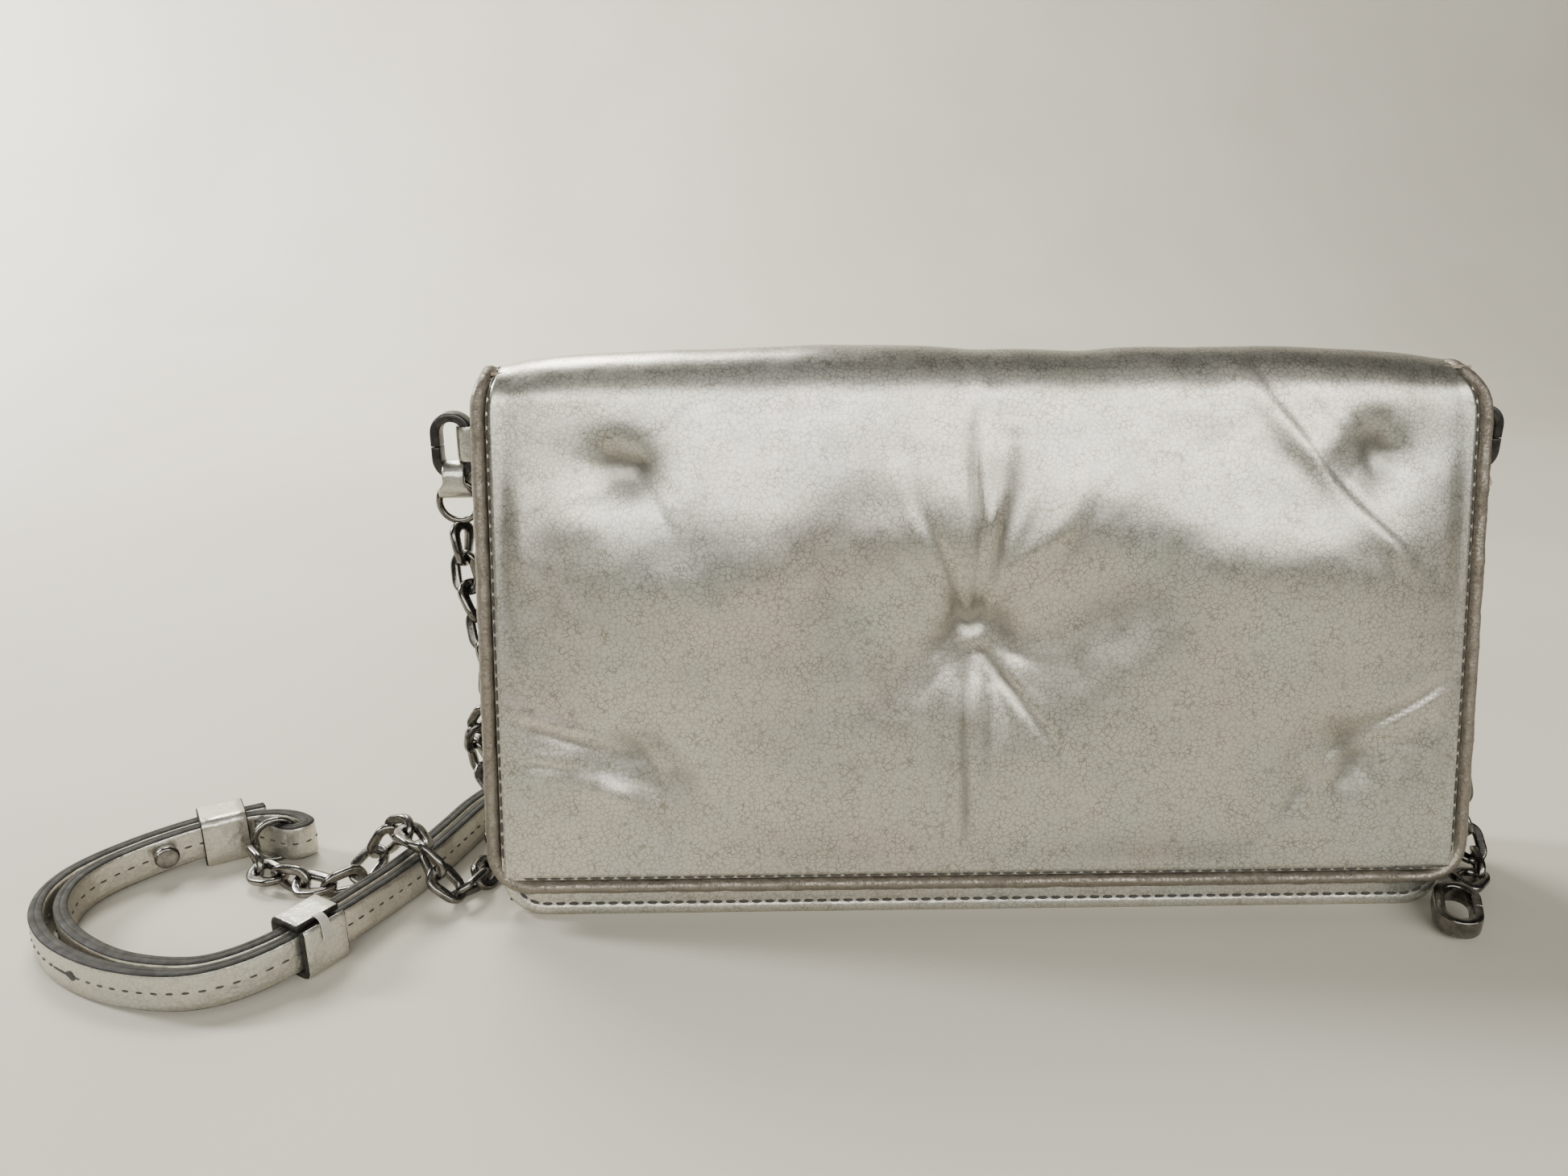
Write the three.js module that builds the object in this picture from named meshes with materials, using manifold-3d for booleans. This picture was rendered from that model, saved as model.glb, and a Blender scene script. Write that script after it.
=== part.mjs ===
// Chain wallet: a padded flap wallet with a doubled leather strap and two curb chains.
// Millimetres, +Z up, +X to the wallet's right, and the flap faces -Y. The wallet stands on its base.

import * as THREE from 'three';
import { mergeVertices } from 'three/addons/utils/BufferGeometryUtils.js';
import Module from 'manifold-3d';

const wasm = await Module();
wasm.setup();

// ---- driving dimensions ----
const WIDTH = 200;              // flap, side to side
const FLAP_LOW = 6.8;           // flap's lower edge, measured up the front slope
const FLAP_TOP = 110.5;         // flap's upper edge, measured up the front slope
const FRONT_LEAN = rad(11);
const BACK_LEAN = rad(6);
const POCKET_LEAN = rad(9);
const FRONT_FOOT = -19.1;       // where the flap's face would meet the floor
const BACK_FOOT = 15.6;         // where the back's face meets the floor
const POCKET_FOOT = -4.4;
const MIDDLE_Y = 4.527;         // the middle of the wallet's own depth, which the origin is moved to
const BASE_TOP = 1.6;
const LEATHER = 1.4;
const LINING = 0.6;
const GAP = 0.3;
const BINDING_WIDTH = 3;
const BINDING_DEPTH = 3.4;
const FLAP_CORNER = 9;
const SNAP_HEIGHT = 26;         // the snap's centre, measured up the front slope
const SNAP_RADIUS = 6;
const SPINE_EDGE = 1;           // the crease lines lie this far inside the faces
const FRONT_CREASE = 111;
const BACK_CREASE = 105.5;
const SPINE_BOARD = 0.6;
const BODY_WIDTH = 196;
const PANEL_TOP = 95;
const CUSHION_EDGE = 0.35;      // a cushion's thickness at its edge, as a share of its middle
const CARD_STEP = 12;
const CARD_TOPS = [88, 88 - CARD_STEP, 88 - 2 * CARD_STEP, 88 - 3 * CARD_STEP];
const POCKET_WIDTH = 168;
const POCKET_HEIGHT = 76;
const POCKET_DEPTH = 4.4;
const ZIP_TRAVEL_START = -62;
const LEFT_RING_X = -106.9;     // side rings, from the middle of the wallet
const RIGHT_RING_X = 105.5;
const RING_Y = 14.2;
const RING_Z = 93.1;
const RING_LENGTH = 14;
const RING_WIDTH = 8.8;
const RING_BAND = 2;
const RING_DEPTH = 4;
const CHAIN_DIAMETER = 5;
const STRAP_THICKNESS = 2.6;
const STRAP_LOW = 1.9;
const STRAP_WIDTH = 8;
const STRAP_END_LOW = 3.1;
const STRAP_END_HIGH = 7.9;
const WIRE = 1.5;
const END_RING_RADIUS = 4.7;

// The stretches of strap that are narrowed to go through a wire ring, as boxes in X and Y.
const STRAP_NARROWED = [
  [-152, 4, -140, 20],
  [-159, 4, -151, 11.9],
  [18, 30, 32, 46],
];

// ---- hand-chosen routes ----
// The strap starts where its end is folded round a wire ring, makes the outer loop on the left, runs
// behind the wallet, turns back through the second ring and ends at its free tip.
const STRAP_ROUTE = [
  [-157.5, 10.9], [-153, 9.3], [-149, 8.1], [-146.4, 10.7], [-149, 13.3], [-153.5, 14.4], [-159.4, 13.15],
  [-165, 9.9], [-172.4, 5.65], [-179, 0.7], [-183.8, -4.8], [-185.9, -10.2], [-185.8, -15.6],
  [-183.4, -22], [-178.4, -28.2], [-171.6, -33.6], [-163, -38.2], [-153.7, -40.5], [-147.2, -40.6],
  [-141.5, -38.4], [-135.9, -34], [-132.6, -29], [-129.3, -24], [-125.9, -16.4], [-122, -7.4],
  [-118, 2.8], [-115.2, 11.5], [-112.4, 20.5], [-108.1, 28.6], [-101, 35], [-90, 38.8], [-76, 39.8],
  [-30, 39.8], [14, 39.8], [21.8, 41], [25.3, 38.2], [21.8, 35.4], [14, 36.6], [-30, 36.6], [-76, 36.6],
  [-89, 35.6], [-98.8, 32.1], [-105.2, 26.8], [-109.2, 19.4], [-112.1, 10.6], [-115, 1.6],
  [-119.1, -8.6], [-123, -17.6], [-126.6, -25.7], [-130, -30.7], [-133.3, -35.7], [-139.6, -41],
  [-146.8, -43.8], [-154.2, -43.8], [-164.3, -41.4], [-173.6, -37], [-181.2, -31.4], [-187.2, -24],
  [-190, -16.2], [-189.6, -9], [-186.7, -3], [-181, 3.3], [-174, 8.4], [-166.6, 12.7], [-161.4, 15.7],
  [-158.9, 17.6],
];
const LEFT_CHAIN_ROUTE = [
  [-106.9, 14.2, 75.2], [-106.4, 13, 66], [-103.6, 10.4, 56], [-102.2, 9.8, 46], [-103, 11.6, 36],
  [-107.6, 16.4, 28], [-109.4, 19, 22.5],
  [-107.6, 18.5, 17.5], [-104, 15.6, 12.4], [-103.4, 10, 6], [-103.5, 3, 3.2], [-104.9, -6, 3.1],
  [-108.5, -11, 4.2], [-113.4, -10, 10.3], [-118, -5.5, 13.6], [-123, -0.6, 12.1], [-127.6, 0.4, 6.6],
  [-131.4, -4.4, 3.2], [-137.3, -7.2, 3.1], [-145.6, -4.2, 3.1], [-152.6, -1.4, 3.1], [-155.6, 2.6, 3.4],
];
const RIGHT_UPPER_CHAIN_ROUTE = [
  [105.5, 14.2, 75.2], [105.6, 13.4, 60], [106.6, 12, 44], [108.2, 10.4, 29], [110.2, 6.6, 15],
  [110.8, 0.6, 6], [109.4, -6.4, 3], [105.2, -10.6, 3.2],
];
const RIGHT_LOWER_CHAIN_ROUTE = [
  [102.6, -5.8, 3.1], [103.6, 2, 3.1], [103.6, 12, 3.1], [101.5, 24, 3.1], [93, 35, 3.1], [80, 40.4, 3.1],
  [66, 37.5, 3.1], [52, 36.6, 3.2], [34.8, 38.2, 4.9],
];
const LINK_FOOT = [93.2, -28.9, 0.9];
const LINK_DIRECTION = [0.4, 0.91, 0.12];

// ---- pieces on the strap: X and Y of the middle, and the strap's heading there in degrees ----
const SLIDING_KEEPER = [-165.8, 11.3, 30.5];
const SEWN_KEEPER = [-131.3, -29.85, 56.8];
const STUD = [-174.7, 2.2, -145];
const LEFT_END_HOLE = [-148.9, 10.6, 210];
const RIGHT_END_HOLE = [21.9, 38.2, 0];
const END_RING_Z = 5.5;
const KEEPER_CLEAR = 7.6;       // room for both strands
const KEEPER_WALL = 1.2;
const KEEPER_LOW = 0.2;
const KEEPER_HIGH = 11.6;
const KEEPER_LENGTH = 9.5;

// ---- colours ----
const LOOKS = {
  silver_leather: { color: 0xb4b3ae, roughness: 0.42, metalness: 0.55 },
  worn_edge: { color: 0x9b948a, roughness: 0.5, metalness: 0.3 },
  lining: { color: 0x2b2b2c, roughness: 0.8, metalness: 0 },
  board: { color: 0x6d6558, roughness: 0.9, metalness: 0 },
  gunmetal: { color: 0x5a5856, roughness: 0.3, metalness: 1 },
  dark_gunmetal: { color: 0x2d2c2b, roughness: 0.35, metalness: 1 },
  zip_tape: { color: 0x1f1f20, roughness: 0.9, metalness: 0 },
};

function rad(degrees) {
  return degrees * Math.PI / 180;
}

function mesh(name, geometry, look) {
  const part = new THREE.Mesh(geometry, new THREE.MeshStandardMaterial(LOOKS[look]));
  part.name = name;
  return part;
}

// ---- shape helpers ----
// A rectangle from (x0, z0) to (x1, z1), with one radius for its lower corners and one for its upper ones.
function roundedRectangle(x0, z0, x1, z1, low, high) {
  const outline = new THREE.Shape();
  outline.moveTo(x0 + low, z0);
  outline.lineTo(x1 - low, z0);
  if (low) outline.absarc(x1 - low, z0 + low, low, -Math.PI / 2, 0, false);
  outline.lineTo(x1, z1 - high);
  if (high) outline.absarc(x1 - high, z1 - high, high, 0, Math.PI / 2, false);
  outline.lineTo(x0 + high, z1);
  if (high) outline.absarc(x0 + high, z1 - high, high, Math.PI / 2, Math.PI, false);
  outline.lineTo(x0, z0 + low);
  if (low) outline.absarc(x0 + low, z0 + low, low, Math.PI, Math.PI * 1.5, false);
  return outline;
}

// A U of one width that goes down one side, along the bottom and up the other.
function uBand(half, z0, z1, width, corner) {
  const outline = new THREE.Shape();
  outline.moveTo(-half, z1);
  outline.lineTo(-half, z0 + corner);
  outline.absarc(-half + corner, z0 + corner, corner, Math.PI, Math.PI * 1.5, false);
  outline.lineTo(half - corner, z0);
  outline.absarc(half - corner, z0 + corner, corner, -Math.PI / 2, 0, false);
  outline.lineTo(half, z1);
  outline.lineTo(half - width, z1);
  outline.lineTo(half - width, z0 + corner);
  outline.absarc(half - corner, z0 + corner, corner - width, 0, -Math.PI / 2, true);
  outline.lineTo(-half + corner, z0 + width);
  outline.absarc(-half + corner, z0 + corner, corner - width, Math.PI * 1.5, Math.PI, true);
  outline.lineTo(-half + width, z1);
  return outline;
}

function circleHole(x, z, radius) {
  const hole = new THREE.Path();
  hole.absarc(x, z, radius, 0, Math.PI * 2, true);
  return hole;
}

// A sheet drawn in X and Z, that fills the depth from y0 to y1.
function sheet(outline, y0, y1) {
  const geometry = new THREE.ExtrudeGeometry(outline, {
    depth: y1 - y0, bevelEnabled: false, curveSegments: 6,
  });
  geometry.rotateX(Math.PI / 2);
  geometry.translate(0, y1, 0);
  return geometry;
}

// A cushion drawn in X and Z: flat at yFlat, swollen to yFace in the middle and thinner towards its edges.
function cushion(outline, yFlat, yFace, roll) {
  const frame = new THREE.Box2().setFromPoints(outline.getPoints());
  const size = frame.getSize(new THREE.Vector2());
  const middle = frame.getCenter(new THREE.Vector2());
  const geometry = new THREE.BoxGeometry(size.x + 1, 1, size.y + 1, 24, 1, 14);
  const places = geometry.attributes.position;
  for (let i = 0; i < places.count; i += 1) {
    const x = places.getX(i);
    const z = places.getZ(i);
    const fromEdge = Math.min(size.x / 2 - Math.abs(x), size.y / 2 - Math.abs(z));
    const flat = 1 - THREE.MathUtils.clamp(fromEdge / roll, 0, 1);
    const swell = CUSHION_EDGE + (1 - CUSHION_EDGE) * Math.sqrt(1 - flat * flat);
    const isFace = (places.getY(i) > 0) === (yFace > yFlat);
    places.setXYZ(i, x + middle.x, isFace ? yFlat + (yFace - yFlat) * swell : yFlat, z + middle.y);
  }
  const low = Math.min(yFlat, yFace) - 1;
  const high = Math.max(yFlat, yFace) + 1;
  return fromSolid(solid(geometry).intersect(solid(sheet(outline, low, high))));
}

function box(x0, y0, z0, x1, y1, z1) {
  const geometry = new THREE.BoxGeometry(x1 - x0, y1 - y0, z1 - z0);
  geometry.translate((x0 + x1) / 2, (y0 + y1) / 2, (z0 + z1) / 2);
  return geometry;
}

function solid(geometry) {
  const bare = geometry.clone();
  bare.deleteAttribute('normal');
  bare.deleteAttribute('uv');
  const merged = mergeVertices(bare);
  return new wasm.Manifold(new wasm.Mesh({
    numProp: 3,
    vertProperties: Float32Array.from(merged.attributes.position.array),
    triVerts: Uint32Array.from(merged.index.array),
  }));
}

function fromSolid(manifold) {
  const result = manifold.getMesh();
  const geometry = new THREE.BufferGeometry();
  geometry.setAttribute('position', new THREE.BufferAttribute(Float32Array.from(result.vertProperties), 3));
  geometry.setIndex(new THREE.BufferAttribute(Uint32Array.from(result.triVerts), 1));
  geometry.computeVertexNormals();
  return geometry;
}

// A ring of round wire in the plane of X and Z.
function wireRing(radius, wire) {
  const section = [];
  for (let i = 0; i <= 8; i += 1) {
    const angle = i * Math.PI / 4;
    section.push(new THREE.Vector2(radius + Math.cos(angle) * wire / 2, Math.sin(angle) * wire / 2));
  }
  return new THREE.LatheGeometry(section, 24);
}

// An oblong ring of flat band, long along Z, with its depth along Y.
function oblongRing() {
  const half = RING_WIDTH / 2;
  const tall = RING_LENGTH / 2;
  const outline = roundedRectangle(-half, -tall, half, tall, half - 0.4, half - 0.4);
  const inner = half - RING_BAND;
  const hole = roundedRectangle(-inner, -tall + RING_BAND, inner, tall - RING_BAND, 1, 1);
  outline.holes.push(hole);
  return sheet(outline, -RING_DEPTH / 2, RING_DEPTH / 2);
}

function tube(route, diameter, sides, steps) {
  const section = new THREE.Shape();
  for (let i = 0; i < sides; i += 1) {
    const angle = i * 2 * Math.PI / sides;
    const x = Math.cos(angle) * diameter / 2;
    const y = Math.sin(angle) * diameter / 2;
    if (i) section.lineTo(x, y);
    else section.moveTo(x, y);
  }
  section.closePath();
  const path = new THREE.CatmullRomCurve3(route.map((p) => new THREE.Vector3(...p)), false, 'centripetal');
  return new THREE.ExtrudeGeometry(section, { steps, extrudePath: path, bevelEnabled: false });
}

// ---- strap ----
function strapCurve() {
  const points = STRAP_ROUTE.map(([x, y]) => new THREE.Vector3(x, y, 0));
  return new THREE.CatmullRomCurve3(points, false, 'centripetal');
}

function strapGeometry() {
  const curve = strapCurve();
  const steps = STRAP_ROUTE.length * 3;
  const left = [];
  const right = [];
  for (let i = 0; i <= steps; i += 1) {
    const at = curve.getPoint(i / steps);
    const along = curve.getTangent(i / steps);
    const side = new THREE.Vector2(-along.y, along.x).multiplyScalar(STRAP_THICKNESS / 2);
    left.push(new THREE.Vector2(at.x + side.x, at.y + side.y));
    right.push(new THREE.Vector2(at.x - side.x, at.y - side.y));
  }
  const ribbon = new THREE.ExtrudeGeometry(new THREE.Shape([...left, ...right.reverse()]), {
    depth: STRAP_WIDTH, bevelEnabled: false,
  });
  ribbon.translate(0, 0, STRAP_LOW);
  const top = STRAP_LOW + STRAP_WIDTH + 1;
  const low = STRAP_LOW - 1;
  let result = solid(ribbon);
  for (const [x0, y0, x1, y1] of STRAP_NARROWED) {
    result = result.subtract(solid(box(x0, y0, low, x1, y1, STRAP_END_LOW)));
    result = result.subtract(solid(box(x0, y0, STRAP_END_HIGH, x1, y1, top)));
  }
  return fromSolid(result);
}

// A leather band that wraps both strands: a rectangle with a rectangular hole, extruded along the strap.
function keeperGeometry() {
  const hole = KEEPER_CLEAR / 2;
  const outer = hole + KEEPER_WALL;
  const outline = roundedRectangle(-outer, KEEPER_LOW, outer, KEEPER_HIGH, 0.8, 0.8);
  const low = KEEPER_LOW + KEEPER_WALL;
  outline.holes.push(roundedRectangle(-hole, low, hole, KEEPER_HIGH - KEEPER_WALL, 0, 0));
  return sheet(outline, -KEEPER_LENGTH / 2, KEEPER_LENGTH / 2);
}

function keeper(name, [x, y, heading]) {
  const part = mesh(name, keeperGeometry(), 'silver_leather');
  part.position.set(x, y, 0);
  part.rotation.z = rad(heading - 90);
  return part;
}

function strapStud() {
  const profile = [[0, 0], [1.2, 0], [1.2, 1.1], [2.5, 1.3], [2.5, 2.6], [2.1, 3], [0, 3]];
  const stud = new THREE.LatheGeometry(profile.map(([r, h]) => new THREE.Vector2(r, h)), 16);
  const part = mesh('strap_stud', stud, 'gunmetal');
  const [x, y, heading] = STUD;
  part.position.set(x, y, STRAP_LOW + STRAP_WIDTH / 2);
  part.rotation.z = rad(heading);
  return part;
}

// A wire ring that stands on edge, one radius past the hole it goes through.
function endRing(name, [x, y, heading]) {
  const part = mesh(name, wireRing(END_RING_RADIUS, WIRE), 'gunmetal');
  part.rotation.z = rad(heading);
  part.position.set(END_RING_RADIUS, 0, 0).applyEuler(part.rotation).add(new THREE.Vector3(x, y, END_RING_Z));
  return part;
}

// ---- side hardware, mirrored on the right ----
function ringTab(name, ringX) {
  const ring = Math.abs(ringX);
  const outline = new THREE.Shape();
  const points = [[92.3, -1.1], [ring - 8.9, -1.1], [ring - 7.4, -3.4], [ring - 2.3, -3.4],
    [ring - 1.5, -2.6], [ring - 1.5, 2.6], [ring - 2.3, 3.4], [ring - 7.4, 3.4],
    [ring - 8.9, 1.1], [92.3, 1.1]];
  points.forEach(([x, y], i) => (i ? outline.lineTo(x, y) : outline.moveTo(x, y)));
  const hole = [[ring - 2.4, -2.3], [ring - 5.5, -2.3], [ring - 5.5, 2.3], [ring - 2.4, 2.3]];
  outline.holes.push(new THREE.Path(hole.map(([x, y]) => new THREE.Vector2(x, y))));
  const geometry = new THREE.ExtrudeGeometry(outline, { depth: 7, bevelEnabled: false });
  geometry.translate(0, 0, 90.2);
  const part = mesh(name, geometry, 'silver_leather');
  part.position.y = RING_Y;
  if (ringX < 0) part.rotation.z = Math.PI;
  return part;
}

function sideRing(name, ringX) {
  const part = mesh(name, oblongRing(), 'dark_gunmetal');
  part.position.set(ringX, RING_Y, RING_Z);
  return part;
}

function chainTab(name, ringX) {
  const outline = roundedRectangle(-3.6, 82.5, 3.6, 89.6, 2.4, 1.5);
  outline.holes.push(roundedRectangle(-2.5, 83.6, 2.5, 88.6, 1.8, 0));
  const geometry = new THREE.ExtrudeGeometry(outline, { depth: 4, bevelEnabled: false, curveSegments: 5 });
  geometry.translate(0, 0, -2);
  geometry.rotateX(Math.PI / 2);
  geometry.rotateZ(Math.PI / 2);
  const part = mesh(name, geometry, 'silver_leather');
  part.position.set(ringX, RING_Y, 0);
  return part;
}

function chainStartRing(name, ringX) {
  const part = mesh(name, wireRing(4.1, WIRE), 'gunmetal');
  part.position.set(ringX, RING_Y, 81.2);
  return part;
}

function cornerLink() {
  const part = mesh('corner_link', oblongRing(), 'gunmetal');
  const along = new THREE.Vector3(...LINK_DIRECTION).normalize();
  const across = new THREE.Vector3(along.y, -along.x, 0).normalize();
  const through = new THREE.Vector3().crossVectors(along, across);
  const turn = new THREE.Matrix4().makeBasis(across, through, along);
  part.quaternion.setFromRotationMatrix(turn);
  part.position.set(...LINK_FOOT).addScaledVector(along, RING_LENGTH / 2);
  part.position.z += RING_DEPTH / 2;
  return part;
}

// ---- outer shell ----
function snapDisc() {
  const disc = new THREE.Shape();
  disc.absarc(0, SNAP_HEIGHT, SNAP_RADIUS, 0, Math.PI * 2, false);
  return disc;
}

function flapParts() {
  const half = WIDTH / 2;
  const inside = half - BINDING_WIDTH - GAP;
  const low = FLAP_LOW + BINDING_WIDTH + GAP;
  const corner = FLAP_CORNER - BINDING_WIDTH - GAP;
  const panel = () => roundedRectangle(-inside, low, inside, FLAP_TOP, corner, 0);
  const lining = panel();
  lining.holes.push(circleHole(0, SNAP_HEIGHT, SNAP_RADIUS + 0.4));
  return [
    mesh('flap_binding', sheet(uBand(half, FLAP_LOW, FLAP_TOP, BINDING_WIDTH, FLAP_CORNER), 0, BINDING_DEPTH),
      'worn_edge'),
    mesh('flap_pad', cushion(panel(), 1.5, -3.6, 9), 'silver_leather'),
    mesh('flap_board', sheet(panel(), 1.9, 2.4), 'board'),
    mesh('flap_lining', sheet(lining, 2.7, 3.4), 'lining'),
    mesh('snap_cap', sheet(snapDisc(), 2.7, 3.4), 'gunmetal'),
  ];
}

function frontParts() {
  const half = BODY_WIDTH / 2;
  const outer = BINDING_DEPTH + 0.5;
  const inner = outer + LEATHER;
  const panel = roundedRectangle(-half, 1.4, half, PANEL_TOP, 9, 4);
  panel.holes.push(circleHole(0, SNAP_HEIGHT, SNAP_RADIUS + 0.4));
  const liningFace = inner + GAP + LINING;
  return [
    mesh('front_panel', sheet(panel, outer, inner), 'silver_leather'),
    mesh('front_lining', sheet(roundedRectangle(-92, 4, 92, PANEL_TOP - 3, 4, 2), inner + GAP, liningFace),
      'lining'),
    mesh('front_slip_pocket', sheet(roundedRectangle(-90, 5, 90, 58, 4, 1), liningFace + GAP,
      liningFace + GAP + LINING), 'lining'),
    mesh('snap_socket', sheet(snapDisc(), outer + 0.1, inner), 'gunmetal'),
  ];
}

function backParts() {
  const half = WIDTH / 2;
  const inside = half - BINDING_WIDTH - GAP;
  const low = 0.4;
  const top = BACK_CREASE - 0.5;
  const corner = FLAP_CORNER - BINDING_WIDTH;
  const panel = () => roundedRectangle(-inside, low + BINDING_WIDTH + GAP, inside, top, corner, 0);
  const parts = [
    mesh('back_binding', sheet(uBand(half, low, top, BINDING_WIDTH, FLAP_CORNER), -BINDING_DEPTH, 0),
      'worn_edge'),
    mesh('back_pad', cushion(panel(), -1.5, 2.6, 9), 'silver_leather'),
    mesh('back_board', sheet(panel(), -2.4, -1.9), 'board'),
    mesh('back_lining', sheet(panel(), -3.4, -2.7), 'lining'),
  ];
  CARD_TOPS.forEach((height, i) => {
    const face = -BINDING_DEPTH - GAP - i * (LINING + GAP);
    const card = roundedRectangle(-90, 6, 90, height, 3, 1);
    parts.push(mesh(`card_panel_${i + 1}`, sheet(card, face - LINING, face), 'lining'));
  });
  return parts;
}

// ---- spine, between the two creases ----
const FRONT_CREASE_AT = creasePoint(FRONT_FOOT, SPINE_EDGE, FRONT_CREASE, FRONT_LEAN);
const BACK_CREASE_AT = creasePoint(BACK_FOOT, -SPINE_EDGE, BACK_CREASE, BACK_LEAN);
const SPINE_LENGTH = Math.hypot(FRONT_CREASE_AT.y - BACK_CREASE_AT.y, FRONT_CREASE_AT.z - BACK_CREASE_AT.z);
const SPINE_SLOPE = Math.atan2(FRONT_CREASE_AT.z - BACK_CREASE_AT.z, BACK_CREASE_AT.y - FRONT_CREASE_AT.y);

function creasePoint(foot, y, up, lean) {
  return new THREE.Vector3(0, foot + y * Math.cos(lean) + up * Math.sin(lean),
    up * Math.cos(lean) - y * Math.sin(lean));
}

function spineParts() {
  const half = WIDTH / 2 - 1;
  const front = -SPINE_LENGTH + 0.5;
  const inside = half - BINDING_WIDTH - GAP;
  const parts = [
    mesh('spine_board', box(-inside, front, 0, inside, -0.5, SPINE_BOARD), 'board'),
    mesh('spine_pad', box(-inside, front, SPINE_BOARD + GAP, inside, -0.5, 2.9), 'silver_leather'),
  ];
  for (const [name, side] of [['spine_binding_left', -1], ['spine_binding_right', 1]]) {
    const x0 = Math.min(side * half, side * (half - BINDING_WIDTH));
    parts.push(mesh(name, box(x0, front, 0, x0 + BINDING_WIDTH, -0.5, 2.4), 'worn_edge'));
  }
  return parts;
}

// ---- gussets: a sheet folded inwards between the front panel and the back lining ----
function gusset(name, side) {
  const thick = 0.9;
  const edge = 97;
  const fold = 89.6;
  const low = 2;
  const high = 92;
  const folded = new THREE.Shape([[edge, 0], [fold, 0.5], [edge, 1], [edge - thick, 1], [fold - thick, 0.5],
    [edge - thick, 0]].map(([x, t]) => new THREE.Vector2(x, t)));
  const geometry = new THREE.ExtrudeGeometry(folded, { depth: high - low, bevelEnabled: false });
  geometry.translate(0, 0, low);
  const places = geometry.attributes.position;
  const frontInner = BINDING_DEPTH + 0.5 + LEATHER + GAP;
  for (let i = 0; i < places.count; i += 1) {
    const z = places.getZ(i);
    const front = (FRONT_FOOT + frontInner / Math.cos(FRONT_LEAN)) + z * Math.tan(FRONT_LEAN);
    const back = BACK_FOOT - (BINDING_DEPTH + GAP) / Math.cos(BACK_LEAN) + z * Math.tan(BACK_LEAN);
    places.setY(i, front + places.getY(i) * (back - front));
  }
  const part = mesh(name, geometry, 'lining');
  if (side < 0) mirrorX(geometry);
  return part;
}

function mirrorX(geometry) {
  geometry.scale(-1, 1, 1);
  const places = geometry.attributes.position;
  for (let i = 0; i < places.count; i += 3) {
    for (const get of ['getX', 'getY', 'getZ']) {
      const set = get.replace('get', 'set');
      const kept = places[get](i + 1);
      places[set](i + 1, places[get](i + 2));
      places[set](i + 2, kept);
    }
  }
  geometry.computeVertexNormals();
}

// ---- zipped pocket in the middle ----
function pocketParts() {
  const half = POCKET_WIDTH / 2;
  const zip = half - 4;
  const middle = POCKET_DEPTH / 2;
  const leaf = () => roundedRectangle(-half, 0.5, half, POCKET_HEIGHT, 3, 1);
  const tapeTop = POCKET_HEIGHT + 1.1;
  return [
    mesh('zip_pocket_front', sheet(leaf(), 0, 0.7), 'lining'),
    mesh('zip_pocket_back', sheet(leaf(), POCKET_DEPTH - 0.7, POCKET_DEPTH), 'lining'),
    mesh('zip_pocket_hem', box(-half + 3.5, 1, 0.5, half - 3.5, POCKET_DEPTH - 1, 2.5), 'lining'),
    mesh('zip_tape_front', box(-zip, 0, POCKET_HEIGHT + GAP, zip, middle - 0.75, tapeTop), 'zip_tape'),
    mesh('zip_tape_back', box(-zip, middle + 0.75, POCKET_HEIGHT + GAP, zip, POCKET_DEPTH, tapeTop),
      'zip_tape'),
    mesh('zip_teeth_front', box(-zip + 2, middle - 0.6, POCKET_HEIGHT, zip - 2, middle - 0.05, tapeTop + 0.6),
      'gunmetal'),
    mesh('zip_teeth_back', box(-zip + 2, middle + 0.05, POCKET_HEIGHT, zip - 2, middle + 0.6, tapeTop + 0.6),
      'gunmetal'),
    mesh('zip_stop_left', box(-zip, middle - 0.6, POCKET_HEIGHT, -zip + 1.7, middle + 0.6, tapeTop + 0.9),
      'gunmetal'),
    mesh('zip_stop_right', box(zip - 1.7, middle - 0.6, POCKET_HEIGHT, zip, middle + 0.6, tapeTop + 0.9),
      'gunmetal'),
  ];
}

function zipSlider() {
  const low = POCKET_HEIGHT + 2;
  const body = solid(box(-4.5, 0, low, 4.5, POCKET_DEPTH, low + 2.4));
  const arch = solid(box(-3, 1.3, low + 2, 3, POCKET_DEPTH - 1.3, low + 5.4));
  const eye = solid(box(-1.5, 0, low + 2.4, 1.5, POCKET_DEPTH, low + 4.4));
  return mesh('zip_slider', fromSolid(body.add(arch.subtract(eye))), 'gunmetal');
}

function zipPuller() {
  const axle = POCKET_HEIGHT + 2 + 3.4;
  const outline = roundedRectangle(-0.6, 0, 13, POCKET_DEPTH, 0.5, 0.5);
  outline.holes.push(roundedRectangle(0.6, 1, 4, POCKET_DEPTH - 1, 0, 0));
  const geometry = new THREE.ExtrudeGeometry(outline, { depth: 1, bevelEnabled: false, curveSegments: 4 });
  geometry.translate(0, 0, axle - 0.5);
  return mesh('zip_puller', geometry, 'gunmetal');
}

// ---- assembly ----
function leaning(foot, height, lean, parts) {
  const group = new THREE.Group();
  group.position.set(0, foot, height);
  group.rotation.x = -lean;
  group.add(...parts);
  return group;
}

const wallet = new THREE.Group();
wallet.add(leaning(FRONT_FOOT, 0, FRONT_LEAN, [...flapParts(), ...frontParts()]));
wallet.add(leaning(BACK_FOOT, 0, BACK_LEAN, backParts()));
wallet.add(leaning(BACK_CREASE_AT.y, BACK_CREASE_AT.z, SPINE_SLOPE, spineParts()));

const zip = new THREE.Group();
zip.add(zipSlider(), zipPuller());
zip.position.x = ZIP_TRAVEL_START;
wallet.add(leaning(POCKET_FOOT, BASE_TOP + GAP, POCKET_LEAN, [...pocketParts(), zip]));

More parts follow.
